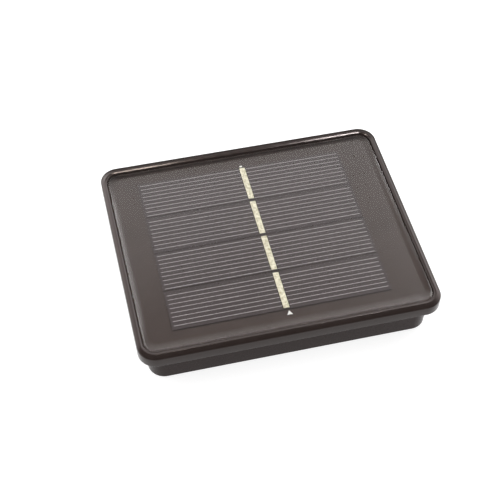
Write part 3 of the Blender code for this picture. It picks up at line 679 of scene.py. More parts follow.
def make_tub():
    foot = 0.5
    edge = 0.15
    rebate = 1.0
    sections = []
    for inwards, z in arc(foot, foot, foot, -90, 0, 6):
        sections.append(inset(TUB_INSET_BASE + inwards, TUB_CORNER - inwards, z))
    sections += [
        inset(TUB_INSET_TOP, TUB_CORNER, TUB_TOP - edge),
        inset(TUB_INSET_TOP + edge, TUB_CORNER - edge, TUB_TOP),
        inset(TUB_INSET_TOP + rebate, TUB_CORNER - rebate, TUB_TOP),
        inset(TUB_INSET_TOP + rebate, TUB_CORNER - rebate, TUB_TOP - rebate),
        inset(TUB_INSET_TOP + WALL, TUB_CORNER - WALL, TUB_TOP - rebate),
        inset(TUB_INSET_BASE + WALL - 0.1, TUB_CORNER - WALL, FLOOR),
    ]
    tub = to_object("tub_shell", loft(sections), SHADED_TUB_BROWN)
    shape(tub, tub_additions(), "UNION")
    shape(tub, tub_removals(), "DIFFERENCE")
    finish_piece(tub, "brown_plastic", "rear_tub")


def make_screws():
    profile = [
        (0.0, 10.9), (0.4, 10.9), (1.0, 9.6), (1.0, 1.35), (2.1, 1.35), (2.1, 0.5), (1.9, 0.25),
        (1.4, 0.08), (0.0, 0.0),
    ]
    for number, (x, y) in enumerate(BOSSES, 1):
        screw = to_object(f"case_screw_{number}", turned(profile, (x, y, 0.7)), ZINC)
        shape(screw, crossed((x, y), 1.2, 0.28, (0.0, 1.4)), "DIFFERENCE")
        finish_piece(screw, "zinc_steel", f"housing_screw_{number}")


# ---------------------------------------------------------------- panel

def strip_edges(number):
    """Lowest and highest y of a strip's share of the array, counted from the far side."""
    far = ARRAY_CENTRE[1] + STRIP_PITCH * 2
    return far - STRIP_PITCH * number, far - STRIP_PITCH * (number - 1)


def make_panel():
    """Backing board, then each strip with its finger lines, a dark band round its ribbon, and the ribbon.
    """
    outline = [pocket_section(0.05, z) for z in BOARD_Z]
    board = to_object("panel_backing", loft(outline), PANEL_BOARD)
    finish_piece(board, "panel_board_black", "panel_board")

    left = ARRAY_CENTRE[0] - STRIP_LENGTH / 2
    right = ARRAY_CENTRE[0] + STRIP_LENGTH / 2
    top = STRIP_Z[1]
    for number in range(1, 5):
        near, far = strip_edges(number)
        mesh = bmesh.new()
        add_box(mesh, (left, near + STRIP_GAP / 2, STRIP_Z[0]), (right, far - STRIP_GAP / 2, top))
        first, count = FINGERS[number % 2]
        for line in range(count):
            y = far - first - FINGER_PITCH * line
            low = (left + FINGER_MARGIN, y - FINGER_WIDTH / 2, top)
            add_box(mesh, low, (right - FINGER_MARGIN, y + FINGER_WIDTH / 2, top + FINGER_HEIGHT), 1)
        middle = (near + far) / 2
        # A dark band round the ribbon, a little wider and longer than it
        border = (RIBBON_WIDTH / 2 + BORDER_MARGIN[0], RIBBON_LENGTH / 2 + BORDER_MARGIN[1])
        add_box(mesh, *around((RIBBON_X, middle), border, (top, top + BORDER_HEIGHT)), 2)
        strip = to_object(f"cell_strip_{number}", mesh, SILICON, PASTE, RIBBON_BORDER)
        finish_piece(strip, "silicon", f"solar_strip_{number}")
        make_ribbon(number, middle)
    make_pads()


def make_ribbon(number, middle):
    """A solder-coated ribbon with soft edges, a little uneven in width and height."""
    mesh = bmesh.new()
    columns = 60
    sway = 0.06
    cross = (
        (-1.0, 0.0), (-1.0, 0.5), (-0.9, 0.9), (-0.5, 1.0), (0.0, 1.0), (0.5, 1.0), (0.9, 0.9), (1.0, 0.5),
        (1.0, 0.0),
    )
    thickness = RIBBON_Z[1] - RIBBON_Z[0]
    rings = []
    for column in range(columns + 1):
        y = middle - RIBBON_LENGTH / 2 + RIBBON_LENGTH * column / columns
        ring = []
        for side, up in cross:
            spot = Vector((side * 1.3, y * 0.9, number * 7.0))
            x = RIBBON_X + side * RIBBON_WIDTH / 2 + sway * noise.noise(spot)
            z = RIBBON_Z[0] + thickness * up * (0.85 + 0.3 * noise.noise(spot * 1.7))
            ring.append(mesh.verts.new((x, y, z)))
        rings.append(ring)
    ribbon = to_object(f"cell_ribbon_{number}", join_rings(mesh, rings), TINNED)
    finish_piece(ribbon, "tinned_copper", f"tabbing_ribbon_{number}")


def make_pads():
    """The white tip beyond the far strip and the white arrow beyond the near one."""
    far = strip_edges(1)[1]
    near = strip_edges(4)[0]
    low = BOARD_Z[1] + 0.1
    high = BOARD_Z[1] + 0.45
    tip = rounded_block((RIBBON_X - 0.7, far + 0.1, low), (RIBBON_X + 0.35, far + 0.7, high), 0.25)
    finish_piece(to_object("end_pad_far", tip, WHITE), "white_ink", "terminal_pad_far")
    prism = rod(1.2, (0.4, near - 1.6, low), (0.4, near - 1.6, high), 3)
    arrow = to_object("end_pad_near", prism, WHITE)
    soften(arrow, 0.12, 3)
    finish_piece(arrow, "white_ink", "terminal_pad_near")


def resin_climb(y, share):
    """How far the resin climbs above its flat at a share of its meniscus: 0 at the wall, 1 where it ends.

    The front end has a steep creep next to the wall, and each long side blends into both ends.
    """
    side_y = 26.0
    blend_width = 12.0
    side = RESIN_SIDE_CLIMB * (1 - share) ** 1.8
    if y > 0:
        end = RESIN_FAR_CLIMB * (1 - share) ** 1.3
    else:
        end = RESIN_CLIMB * (1 - share) ** 2 + RESIN_CREEP * max(0.0, 1 - 4 * share) ** 2
    towards = min(max((abs(y) - side_y) / blend_width, 0.0), 1.0)
    return side + (end - side) * towards


def make_resin():
    steps = 32
    shares = [(step / steps) ** 1.5 for step in range(steps + 1)]
    sections = [pocket_section(RESIN_GAP, BOARD_Z[1] - 0.03, SIDE_SLIT)]
    for share in shares:
        reach = (SIDE_SLIT + MENISCUS_SIDE * share, MENISCUS_FRONT * share, MENISCUS_FAR * share)
        sections.append(pocket_section(RESIN_GAP, RESIN_FLAT, *reach))
    mesh = loft(sections, side_cuts=24)
    around_count = len(mesh.verts) // len(sections)
    for i, vert in enumerate(mesh.verts):
        if i >= around_count:
            vert.co.z += resin_climb(vert.co.y, shares[i // around_count - 1])
    resin = to_object("resin_fill", mesh, RESIN)
    finish_piece(resin, "clear_resin", "resin_cover")
    resin.visible_shadow = False


# ---------------------------------------------------------------- battery bay and door

def upright_plate(low, high, radius, steps=6):
    """A sheet that faces along X, with round corners."""
    sheet = rounded_block((low[1], low[2], low[0]), (high[1], high[2], high[0]), radius, steps)
    for vert in sheet.verts:
        y, z, x = vert.co
        vert.co = (x, y, z)
    return sheet


def tube(path, radius, sides=14):
    """A round wire along a list of points, with closed ends."""
    mesh = bmesh.new()
    points = [Vector(point) for point in path]
    side = None
    rings = []
    for i, point in enumerate(points):
        along = (points[min(i + 1, len(points) - 1)] - points[max(i - 1, 0)]).normalized()
        side = side or along.orthogonal()
        side = (side - along * side.dot(along)).normalized()
        other = along.cross(side)
        ring = []
        for corner in range(sides):
            angle = math.tau * corner / sides
            outwards = side * math.cos(angle) + other * math.sin(angle)
            ring.append(mesh.verts.new(point + radius * outwards))
        rings.append(ring)
    return join_rings(mesh, rings)


def coil(start, turns, steps, radius, rise, axis):
    """Points of a coil along X or Z. Its radius is the first of two numbers, and changes by the second."""
    path = []
    for step in range(steps + 1):
        share = step / steps
        angle = math.tau * turns * share
        reach = radius[0] + radius[1] * share
        across, aside = reach * math.cos(angle), reach * math.sin(angle)
        turn = (rise * share, across, aside) if axis == "X" else (across, aside, rise * share)
        path.append(start + Vector(turn))
    return path


def paint_faces(piece, index, chosen):
    """Give the piece's material of that index to the faces whose centre, in millimetres, is chosen."""
    for face in piece.data.polygons:
        if chosen(face.center / MM):
            face.material_index = index


def hinge_line(radius, half_length, segments=48):
    return rod(radius, (-half_length, *HINGE), (half_length, *HINGE), segments)


def make_door():
    """Door with knuckles on its pin, a ribbed fingernail dish, a snap tongue and two cradle ribs inside."""
    centre = (0.0, (HINGE[0] + DOOR_FREE_Y) / 2)
    half_y = (DOOR_FREE_Y - HINGE[0]) / 2
    edge = 0.3
    corner = 1.5
    sections = []
    for inwards, z in arc(edge, DOOR_Z[0] + edge, edge, -90, 0, 4):
        sections.append((DOOR_HALF_X - inwards, half_y - inwards, corner - inwards, z))
    sections.append((DOOR_HALF_X, half_y, corner, DOOR_Z[1]))
    door = to_object("bay_door", loft(sections, centre, 8), BROWN)

    tongue_y = DOOR_FREE_Y - 0.9
    added = [hinge_line(1.1, DOOR_HALF_X), block((-4.0, tongue_y, 0.6), (4.0, tongue_y + 0.7, 2.6))]
    for y in (BAY_Y - 4.9, BAY_Y + 4.1):
        added.append(block((-21.0, y, 1.0), (21.0, y + 0.8, 2.4)))
    shape(door, added, "UNION")

    knuckle_gap = 0.5
    dish = ((-7.0, DOOR_FREE_Y - 5.2, -0.5), (7.0, DOOR_FREE_Y - 0.9, DOOR_Z[0] + 0.4))
    removed = [hinge_line(0.65, 30.0)]
    for x in (-17.0, -5.7, 5.7, 17.0):
        low = (x - knuckle_gap / 2, HINGE[0] - 1.5, -0.5)
        removed.append(block(low, (x + knuckle_gap / 2, HINGE[0] - 0.3, 2.8)))
    removed.append(rounded_block(*dish, 2.0))
    shape(door, removed, "DIFFERENCE")

    ribs = []
    for step in range(5):
        y = DOOR_FREE_Y - 4.5 + 0.75 * step
        ribs.append(block(*around((0.0, y), (5.4, 0.15), (DOOR_Z[0] + 0.05, DOOR_Z[0] + 0.6))))
    shape(door, ribs, "UNION")
    soften(door, 0.06)
    finish_piece(door, "brown_plastic", "battery_door", body="battery_door")

    pin = [(0.0, 60.8), (0.3, 60.8), (0.4, 60.6), (0.4, 0.2), (0.3, 0.0), (0.0, 0.0)]
    piece = to_object("bay_hinge_pin", turned(pin, (-30.4, *HINGE), (1, 0, 0), 32), ZINC)
    finish_piece(piece, "zinc_steel", "door_hinge_pin")


def make_gasket():
    """Rubber ring with a raised lip, in the rebate above the door."""
    sections = [
        (27.4, 7.2, 1.4, 1.6), (27.4, 7.2, 1.4, 2.0), (27.3, 7.1, 1.3, 2.05), (25.8, 6.3, 0.5, 2.05),
        (25.7, 6.2, 0.4, 2.0), (25.7, 6.2, 0.4, 1.6), (25.8, 6.3, 0.5, 1.55), (26.4, 6.6, 0.8, 1.55),
        (26.5, 6.7, 1.0, 1.42), (26.7, 6.9, 1.0, 1.42), (26.9, 6.95, 1.2, 1.55), (27.3, 7.1, 1.3, 1.55),
    ]
    gasket = to_object("bay_gasket", loft(sections, (0.0, BAY_Y), 8, closed=True), RUBBER)
    finish_piece(gasket, "seal_rubber", "door_gasket")


def make_cell():
    """Rechargeable cell in its sleeve, with a bare nub, a vented cap and a bare rear end."""
    profile = [
        (0.0, 44.5), (1.3, 44.5), (1.7, 44.4), (1.9, 44.15), (1.9, 43.45), (3.5, 43.45), (3.6, 43.6),
        (4.5, 43.7), (4.9, 43.62), (5.17, 43.4), (5.25, 43.1), (5.25, 42.4), (5.15, 42.2), (5.15, 41.9),
        (5.25, 41.7), (5.25, 0.45), (5.17, 0.15), (4.9, 0.02), (4.3, 0.0), (4.2, 0.12), (0.0, 0.12),
    ]
    mesh = turned(profile, (-21.3, BAY_Y, CELL_Z), (1, 0, 0), 72)
    cell = to_object("cell_body", mesh, SLEEVE, NICKEL, SLEEVE_BAND)
    for index, chosen in (
        (1, lambda at: at.x > 22.1 and math.hypot(at.y - BAY_Y, at.z - CELL_Z) < 3.55),
        (1, lambda at: at.x < -21.15 and math.hypot(at.y - BAY_Y, at.z - CELL_Z) < 4.1),
        (2, lambda at: 20.3 < at.x < 21.2),
    ):
        paint_faces(cell, index, chosen)
    finish_piece(cell, "cell_sleeve", "battery_cell")


def make_contacts():
    """Nickel contact plates with a solder tab each, a pressed button at +X and a coil spring at -X."""
    button = [
        (0.0, -0.1), (2.2, -0.1), (2.2, 0.0), (2.0, 0.15), (1.5, 0.5), (1.1, 0.75), (0.6, 0.85),
        (0.0, 0.85),
    ]
    thin = 0.15
    for end, side in (("positive", 1), ("negative", -1)):
        x = 24.5 * side
        sheet = upright_plate((x - thin, BAY_Y - 4.2, 3.0), (x + thin, BAY_Y + 4.2, 9.6), 1.2)
        plate = to_object(f"contact_{end}", sheet, NICKEL)
        tab = upright_plate((x - thin, BAY_Y - 1.0, 9.0), (x + thin, BAY_Y + 1.0, 10.7), 0.4)
        shape(plate, [tab], "UNION")
        if side > 0:
            shape(plate, [turned(button, (x - thin, BAY_Y, CELL_Z), (-1, 0, 0), 40)], "UNION")
        holes = [rod(0.35, (x - 1, BAY_Y, 10.2), (x + 1, BAY_Y, 10.2), 24)]
        holes += [rod(0.5, (x - 1, BAY_Y + y, 3.9), (x + 1, BAY_Y + y, 3.9), 24) for y in (-3.1, 3.1)]
        shape(plate, holes, "DIFFERENCE")
        soften(plate, 0.04)
        finish_piece(plate, "nickel", f"battery_contact_{end}")

    start = Vector((-24.0, BAY_Y, CELL_Z))
    path = coil(start, 3, 108, (3.6, -1.7), 2.3, "X")
    finish_piece(to_object("contact_spring", tube(path, 0.25, 12), NICKEL), "nickel", "battery_spring")


# ---------------------------------------------------------------- switch and socket

def make_switch():
    """Slide switch: case, windowed sheet cover and a ribbed knob."""
    x, y = SWITCH
    outline = (4.3, 2.1)
    corners = [(at, side) for at in (-2.6, 2.6) for side in (-1, 1)]
    case = to_object("switch_case", rounded_block(*around(SWITCH, outline, (2.5, 5.8)), 0.35), BLACK)
    shape(case, [rounded_block(*around(SWITCH, (3.2, 1.5), (2.0, 4.3)), 0.2)], "DIFFERENCE")
    notches = [around((x + at, y + side * 2.125), (0.5, 0.275), (2.0, 3.4)) for at, side in corners]
    shape(case, [block(*notch) for notch in notches], "DIFFERENCE")
    soften(case, 0.06)
    finish_piece(case, "black_plastic", "switch_housing")

    cover = to_object("switch_cover", rounded_block(*around(SWITCH, outline, (2.0, 2.3)), 0.5), NICKEL)
    clips = [around((x + at, y + side * 2.0), (0.4, 0.1), (2.1, 3.3)) for at, side in corners]
    shape(cover, [block(*clip) for clip in clips], "UNION")
    shape(cover, [rounded_block(*around(SWITCH, (2.4, 1.1), (1.5, 2.8)), 0.3)], "DIFFERENCE")
    soften(cover, 0.04)
    finish_piece(cover, "nickel", "switch_plate")

    off = x - 1.0
    knob = to_object("switch_knob", rounded_block(*around((off, y), (1.6, 1.2), (2.6, 4.0)), 0.2), BLACK)
    shape(knob, [rounded_block(*around((off, y), (1.0, 0.8), (0.3, 3.0)), 0.2)], "UNION")
    grooves = [around((off + at, y), (0.13, 1.0), (0.1, 0.65)) for at in (-0.55, 0.0, 0.55)]
    shape(knob, [block(*groove) for groove in grooves], "DIFFERENCE")
    soften(knob, 0.05)
    finish_piece(knob, "black_plastic", "switch_slider", body="switch_slider")


def socket_line(radius, near, far, segments=64, twist=0.0):
    return rod(radius, (SOCKET[0], near, SOCKET[1]), (SOCKET[0], far, SOCKET[1]), segments, twist)


def make_socket():
    """Output socket with a dished flange and a threaded neck, its centre pin, sealing ring and nut."""
    mouth = 12.9
    flange = [
        (0.0, 3.5), (1.9, 3.5), (1.9, mouth - 0.45), (2.0, mouth - 0.3), (2.3, mouth - 0.18),
        (2.8, mouth - 0.14), (3.1, mouth - 0.05), (3.5, mouth), (4.1, mouth), (4.42, mouth - 0.08),
        (4.57, mouth - 0.25), (4.6, mouth - 0.5), (4.6, mouth - 1.2), (4.52, mouth - 1.3),
        (3.0, mouth - 1.3),
    ]
    thread = []
    for turn in range(14):
        height = mouth - 2.6 - 0.6 * turn
        thread += [(3.0, height), (2.86, height - 0.3)]
    profile = flange + thread + [(3.0, 0.3), (2.8, 0.0), (0.0, 0.0)]
    body = to_object("socket_body", turned(profile, (SOCKET[0], 31.0, SOCKET[1]), (0, 1, 0), 72), BLACK)
    grips = []
    for step in range(24):
        angle = math.tau * step / 24
        x = SOCKET[0] + 4.68 * math.cos(angle)
        z = SOCKET[1] + 4.68 * math.sin(angle)
        grips.append(rod(0.2, (x, 42.5, z), (x, 44.1, z), 12))
    shape(body, grips, "DIFFERENCE")
    finish_piece(body, "black_plastic", "output_socket")

    pin = [(0.0, 7.6), (0.2, 7.58), (0.42, 7.45), (0.57, 7.2), (0.6, 6.9), (0.6, 0.0), (0.0, 0.0)]
    mesh = turned(pin, (SOCKET[0], 34.7, SOCKET[1]), (0, 1, 0), 32)
    finish_piece(to_object("socket_centre_pin", mesh, NICKEL), "nickel", "socket_pin")

    ring = []
    for step in range(17):
        angle = math.radians(-90 + 180 * step / 16)
        ring.append((4.05 + 0.35 * math.cos(angle), 0.35 + 0.35 * math.sin(angle)))
    ring += [(3.2, 0.7), (3.2, 0.0), ring[0]]
    seal = turned(ring, (SOCKET[0], 41.7, SOCKET[1]), (0, 1, 0), 64)
    bmesh.ops.remove_doubles(seal, verts=seal.verts, dist=1e-5)
    finish_piece(to_object("socket_seal_ring", seal, RUBBER), "seal_rubber", "socket_seal")

    nut = to_object("socket_hex_nut", socket_line(4.35, 36.4, 38.7, 6, 30.0), NICKEL)
    shape(nut, [socket_line(3.2, 35.0, 44.0)], "DIFFERENCE")
    soften(nut, 0.15, 3)
    finish_piece(nut, "nickel", "socket_nut")


# ---------------------------------------------------------------- driver board and wiring

def make_board():
    """Driver board with tinned pads under its parts and leads, masked tracks and two screws."""
    board = to_object("driver_board", rounded_block(PCB_LOW, PCB_HIGH, 1.0), GREEN_BOARD)
    holes = posts(STANDOFFS, 1.3, PCB_HOLE_Z, 40) + posts(LEAD_ENDS, 0.4, PCB_HOLE_Z, 20)
    shape(board, holes, "DIFFERENCE")
    finish_piece(board, "green_board", "circuit_board")

    top = PCB_HIGH[2]
    sunk = top - 0.02
    pads = bmesh.new()
    for place in LEAD_ENDS:
        add_box(pads, *around(place, (0.9, 0.9), (sunk, top + 0.05)))
    for place in PART_PADS:
        add_box(pads, *around(place, (0.6, 0.7), (sunk, top + 0.05)))
    finish_piece(to_object("driver_board_pads", pads, TINNED), "tinned_copper")

    half_track = 0.22
    tracks = bmesh.new()
    for route in PCB_TRACKS:
        for (x, y), (end_x, end_y) in zip(route, route[1:]):
            low = (min(x, end_x) - half_track, min(y, end_y) - half_track, sunk)
            high = (max(x, end_x) + half_track, max(y, end_y) + half_track, top + 0.03)
            add_box(tracks, low, high)
    finish_piece(to_object("driver_board_tracks", tracks, TRACK), "green_board")

    profile = [
        (0.0, 1.3), (1.1, 1.3), (1.5, 1.2), (1.8, 0.95), (1.9, 0.6), (1.9, 0.0), (0.75, 0.0), (0.75, -4.2),
        (0.3, -4.9), (0.0, -4.9),
    ]
    for number, (x, y) in enumerate(STANDOFFS, 1):
        screw = to_object(f"driver_board_screw_{number}", turned(profile, (x, y, 7.4)), ZINC)
        shape(screw, crossed((x, y), 1.1, 0.25, (8.1, 9.4)), "DIFFERENCE")
        finish_piece(screw, "zinc_steel", f"board_screw_{number}")


def make_chip():
    """The chip with its dot, and its eight bent legs."""
    middle_y = 20.0
    thick = 0.15
    case = around((-8.0, middle_y), (2.5, 1.4), (PARTS_Z, PARTS_Z + 1.5))
    chip = to_object("driver_ic", block(*case), CHIP)
    soften(chip, 0.18)
    shape(chip, posts([(-9.8, 19.2)], 0.3, (PARTS_Z + 1.4, PARTS_Z + 2.0), 24), "DIFFERENCE")
    finish_piece(chip, "chip_black", "driver_chip")
    legs = bmesh.new()
    for x in (-9.9, -8.63, -7.36, -6.1):
        for side in (-1, 1):
            body_y = middle_y + side * 1.4
            bend_y = body_y + side * 0.65
            toe_y = bend_y + side * 0.5
            for start, end, low, high in (
                (body_y, bend_y, 0.6, 0.6 + thick),
                (bend_y - 0.08, bend_y + 0.08, -0.1, 0.6 + thick),
                (bend_y, toe_y, -0.1, 0.05),
            ):
                corner = (x - 0.2, min(start, end), PARTS_Z + low)
                add_box(legs, corner, (x + 0.2, max(start, end), PARTS_Z + high))
    finish_piece(to_object("driver_ic_legs", legs, TINNED), "tinned_copper")


def make_end_capped():
    """The diode and the two resistors: dark bodies with a tinned cap at each end."""
    for name, node, low, high, height, cap in (
        ("power_diode", "blocking_diode", (-4.0, 24.5), (0.2, 27.0), 1.6, 0.45),
        ("gate_resistor_1", "chip_resistor_1", (-9.0, 8.4), (-7.0, 9.6), 0.5, 0.4),
        ("gate_resistor_2", "chip_resistor_2", (-9.0, 11.4), (-7.0, 12.6), 0.5, 0.4),
    ):
        mesh = bmesh.new()
        add_box(mesh, (low[0] + cap, low[1], PARTS_Z), (high[0] - cap, high[1], PARTS_Z + height))
        for start in (low[0], high[0] - cap):
            corner = (start, low[1] + 0.02, PARTS_Z - 0.05)
            add_box(mesh, corner, (start + cap, high[1] - 0.02, PARTS_Z + height * 0.94), 1)
        piece = to_object(name, mesh, CHIP, TINNED)
        soften(piece, 0.05)
        finish_piece(piece, "chip_black", node)


def make_inductor():
    drum = [
        (0.0, 3.4), (3.0, 3.4), (3.2, 3.2), (3.2, 2.7), (2.5, 2.6), (2.5, 0.8), (3.2, 0.7), (3.2, 0.2),
        (3.0, 0.0), (0.0, 0.0),
    ]
    x, y = INDUCTOR
    inductor = to_object("inductor_drum", turned(drum, (x, y, PARTS_Z)), FERRITE)
    finish_piece(inductor, "ferrite", "boost_inductor")
    turns = 6
    winding = coil(Vector((x, y, PARTS_Z + 0.95)), turns, 36 * turns, (2.7, 0.0), 1.5, "Z")
    finish_piece(to_object("inductor_winding", tube(winding, 0.14, 8), COPPER), "ferrite")


def make_capacitor():
    can = [
        (0.0, 4.0), (1.6, 4.0), (1.75, 4.1), (2.2, 4.1), (2.42, 4.0), (2.5, 3.8), (2.5, 1.25), (2.44, 1.1),
        (2.35, 1.0), (2.44, 0.9), (2.5, 0.75), (2.5, 0.35), (0.0, 0.35),
    ]
    capacitor = to_object("capacitor_can", turned(can, (*CAPACITOR, PARTS_Z)), CAN)
    shape(capacitor, crossed(CAPACITOR, 1.2, 0.07, (PARTS_Z + 3.93, PARTS_Z + 4.3)), "DIFFERENCE")
    finish_piece(capacitor, "can_silver", "filter_capacitor")
    base = around(CAPACITOR, (2.6, 2.6), (PARTS_Z - 0.05, PARTS_Z + 0.33))
    foot = to_object("capacitor_foot", rounded_block(*base, 0.6), BLACK)
    soften(foot, 0.08)
    finish_piece(foot, "black_plastic")


def smooth_path(points, per_span=12):
    """Points read from a smooth curve through a route's own points."""
    route = [Vector(point) for point in points]
    route = [route[0] * 2 - route[1]] + route + [route[-1] * 2 - route[-2]]
    path = []
    for a, b, c, d in zip(route, route[1:], route[2:], route[3:]):
        for step in range(per_span):
            t = step / per_span
            bend = (2 * a - 5 * b + 4 * c - d) * t * t + (3 * b - a - 3 * c + d) * t ** 3
            path.append(b + ((c - a) * t + bend) / 2)
    path.append(route[-2])
    return path


def make_wiring():
    """The six leads with a solder joint on the board, and the battery's with one on each contact's tab."""
    blob = [(0.0, 1.0), (0.35, 0.95), (0.6, 0.75), (0.75, 0.45), (0.85, 0.1), (0.95, 0.0), (0.0, 0.0)]
    for name, route in LEADS.items():
        slot, look = ("red_lead", RED_WIRE) if name.endswith("positive") else ("black_lead", BLACK_WIRE)
        lead = to_object(name, tube(smooth_path(route), 0.5, 16), look)
        finish_piece(lead, slot, name.replace("wire", "lead"))
        joints = [(f"{name}_joint", (*route[-1][:2], PCB_HIGH[2] + 0.03))]
        if name.startswith("battery"):
            x, y, z = route[0]
            joints.append((f"{name}_tip", (x, y, z - 0.9)))
        for joint, place in joints:
            finish_piece(to_object(joint, turned(blob, place, segments=32), SOLDER), "tinned_copper")


def make_socket_tags():
    """Two solder tags behind the socket, where the output leads end."""
    tags = bmesh.new()
    for name in ("output_wire_positive", "output_wire_negative"):
        x, _, z = LEADS[name][0]
        add_box(tags, (x - 0.7, 29.4, z - 0.75), (x + 0.7, 31.2, z - 0.5))
        add_box(tags, (x - 0.35, 29.9, z - 0.55), (x + 0.35, 30.6, z + 0.1))
    piece = to_object("socket_tags", tags, SOLDER)
    soften(piece, 0.08)
    finish_piece(piece, "nickel")


def make_grommet():
    """The grommet that the panel's two leads pass through."""
    x, y = GROMMET
    sections = [
        (3.75, 1.75, 0.5, 11.3), (3.9, 1.9, 0.65, 11.45), (3.9, 1.9, 0.65, 12.85), (3.75, 1.75, 0.5, 13.0),
    ]
    grommet = to_object("wire_gland", loft(sections, GROMMET, 8), RUBBER)
    holes = posts([(x - 1.9, y), (x + 1.9, y)], 0.75, (10.5, 14.0), 32)
    shape(grommet, holes, "DIFFERENCE")
    finish_piece(grommet, "seal_rubber", "wire_grommet")


def make_casing_seal():
    """Rubber ring between the tub and the brim, with a bead along its top."""
    outer = TUB_INSET_TOP + 1.15
    inner = TUB_INSET_TOP + WALL - 0.15
    middle = (outer + inner) / 2
    low = TUB_TOP - 0.85
    high = BRIM_BASE - 0.15
    flat = high - 0.12
    edge = high - 0.25
    sections = [
        inset(outer, 4.7, low), inset(outer, 4.7, edge), inset(outer + 0.08, 4.6, flat),
        inset(middle - 0.2, 4.2, flat), inset(middle - 0.12, 4.2, high), inset(middle + 0.12, 4.1, high),
        inset(middle + 0.2, 4.1, flat), inset(inner - 0.08, 3.7, flat),
        inset(inner, 3.6, edge), inset(inner, 3.6, low),
    ]
    seal = to_object("casing_seal", loft(sections, closed=True), RUBBER)
    finish_piece(seal, "seal_rubber", "perimeter_seal")


# ---------------------------------------------------------------- carried-over nodes

def dress_links():
    """The series links are the only CAD nodes still shown, and get a dark look, close to the backing
    board's.
    """
    for name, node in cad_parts.items():
        if name.startswith("series_link"):
            node.data.materials.clear()
            node.data.materials.append(DARK_LINK)


# ---------------------------------------------------------------- stage

# The room's brightness against the height of the direction looked in, behind and in front of the object
BACK_WALL = (
    (0.0, 0.9), (0.2, 0.8), (0.4, 0.32), (0.5, 0.32), (0.56, 1.2), (0.61, 2.8), (0.64, 2.85),
    (0.69, 2.25), (0.74, 1.8), (0.77, 1.35), (0.80, 0.75), (0.83, 0.32), (0.88, 0.12), (1.0, 0.1),
)
FRONT_WALL = ((0.0, 0.9), (0.35, 0.8), (0.6, 0.35), (0.8, 0.15), (1.0, 0.12))
# Brighter towards both sides: position 0 is the left, 0.5 the middle and 1 the right
SIDE_SHARE = (
    (0.2, 2.2), (0.365, 2.4), (0.415, 2.1), (0.44, 3.2), (0.475, 2.8), (0.51, 1.2), (0.53, 1.15),
    (0.575, 1.0), (0.6, 1.08), (0.63, 1.3), (0.66, 1.85), (0.70, 2.3), (0.9, 2.4),
)


def make_floor():
    mesh = bmesh.new()
    bmesh.ops.create_grid(mesh, x_segments=1, y_segments=1, size=3000.0)
    floor = to_object("floor", mesh)
    look = Look("floor_look", (0.35, 0.35, 0.35), 0.9, Emission_Strength=0.83)
    look.set("Emission Color", (1.0, 1.0, 1.0, 1.0))
    floor.data.materials.append(look.material)


def ramp_node(tree, stops):
    """A grey ramp whose brightness may go over 1: (position, brightness) stops, scaled by the brightest."""
    ramp = tree.nodes.new("ShaderNodeValToRGB")
    top = max(brightness for _, brightness in stops)
    elements = ramp.color_ramp.elements
    while len(elements) < len(stops):
        elements.new(0.5)
    for element, (position, brightness) in zip(elements, stops):
        element.position = position
        element.color = (*([brightness / top] * 3), 1.0)
    scale = tree.nodes.new("ShaderNodeVectorMath")
    scale.operation = "SCALE"
    scale.inputs["Scale"].default_value = top
    tree.links.new(ramp.outputs["Color"], scale.inputs[0])
    return ramp.inputs["Fac"], scale.outputs["Vector"]


def make_world():
    """A room with a bright band low behind the object, brighter to both sides, and a dark ceiling."""
    world = bpy.data.worlds.new("studio")
    bpy.context.scene.world = world
    world.use_nodes = True
    tree = world.node_tree
    link = tree.links.new
    place = tree.nodes.new("ShaderNodeTexCoord")
    split = tree.nodes.new("ShaderNodeSeparateXYZ")
    link(place.outputs["Generated"], split.inputs[0])
    behind = ramp_node(tree, BACK_WALL)
    ahead = ramp_node(tree, FRONT_WALL)
    sideways = ramp_node(tree, SIDE_SHARE)
    for factor, _ in (behind, ahead):
        link(split.outputs["Z"], factor)
    across = tree.nodes.new("ShaderNodeMapRange")
    across.inputs["From Min"].default_value = -1.0
    link(split.outputs["X"], across.inputs["Value"])
    link(across.outputs["Result"], sideways[0])
    lit = tree.nodes.new("ShaderNodeVectorMath")
    lit.operation = "MULTIPLY"
    link(behind[1], lit.inputs[0])
    link(sideways[1], lit.inputs[1])
    depth = tree.nodes.new("ShaderNodeMapRange")
    depth.interpolation_type = "SMOOTHSTEP"
    depth.inputs["From Min"].default_value = -0.25
    depth.inputs["From Max"].default_value = 0.3
    link(split.outputs["Y"], depth.inputs["Value"])
    mix = tree.nodes.new("ShaderNodeMix")
    mix.data_type = "RGBA"
    link(depth.outputs["Result"], mix.inputs["Factor"])
    link(ahead[1], mix.inputs[6])
    link(lit.outputs["Vector"], mix.inputs[7])
    link(mix.outputs[2], tree.nodes["Background"].inputs["Color"])


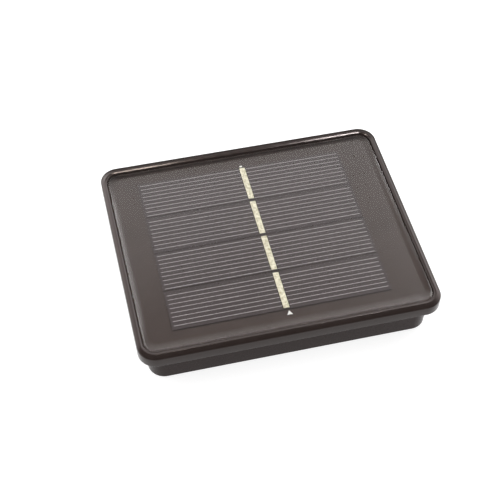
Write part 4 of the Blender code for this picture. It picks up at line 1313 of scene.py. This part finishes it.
def add_light(name, place, target, size, power, colour=(1, 1, 1)):
    """A soft box at place, facing target, with places and sizes in millimetres."""
    data = bpy.data.lights.new(name, "AREA")
    data.shape = "RECTANGLE"
    data.size = size[0] * MM
    data.size_y = size[1] * MM
    data.energy = power
    data.color = colour
    light = bpy.data.objects.new(name, data)
    light.location = Vector(place) * MM
    light.rotation_euler = (Vector(target) - Vector(place)).to_track_quat("-Z", "Y").to_euler()
    bpy.context.scene.collection.objects.link(light)
    return light


def make_lights():
    centre = (0, 0, 10)
    ceiling = add_light("ceiling", (0, 0, 1100), centre, (1000, 1000), 5.0)
    ceiling.visible_glossy = False
    add_light("glint_right", (744, 1389, 2602), centre, (105, 210), 7.5)
    add_light("glint_left", (201, 1421, 2670), centre, (100, 210), 5.4, (1.0, 0.95, 0.86))


def make_camera():
    azimuth, elevation, roll = (math.radians(angle) for angle in (-13.885, 50.433, -0.599))
    distance = 437.784
    target = Vector((-5.184, 0.503, 8.5))
    back = Vector((
        math.sin(azimuth) * math.cos(elevation),
        -math.cos(azimuth) * math.cos(elevation),
        math.sin(elevation),
    ))
    right = (-back).cross(Vector((0, 0, 1))).normalized()
    up = back.cross(right)
    turned_right = math.cos(roll) * right - math.sin(roll) * up
    turned_up = math.sin(roll) * right + math.cos(roll) * up
    data = bpy.data.cameras.new("camera")
    data.lens = 86.224
    data.sensor_width = 36.0
    data.clip_start = 0.01
    camera = bpy.data.objects.new("camera", data)
    rotation = Matrix((turned_right, turned_up, back)).transposed()
    camera.matrix_world = Matrix.Translation((target + back * distance) * MM) @ rotation.to_4x4()
    bpy.context.scene.collection.objects.link(camera)
    bpy.context.scene.camera = camera


make_camera()
make_world()
make_lights()
make_floor()
dress_links()
make_bezel()
make_tub()
make_screws()
make_panel()
make_resin()
make_door()
make_gasket()
make_cell()
make_contacts()
make_switch()
make_socket()
make_board()
make_chip()
make_end_capped()
make_inductor()
make_capacitor()
make_wiring()
make_socket_tags()
make_grommet()
make_casing_seal()
bpy.context.scene.view_settings.view_transform = "Standard"
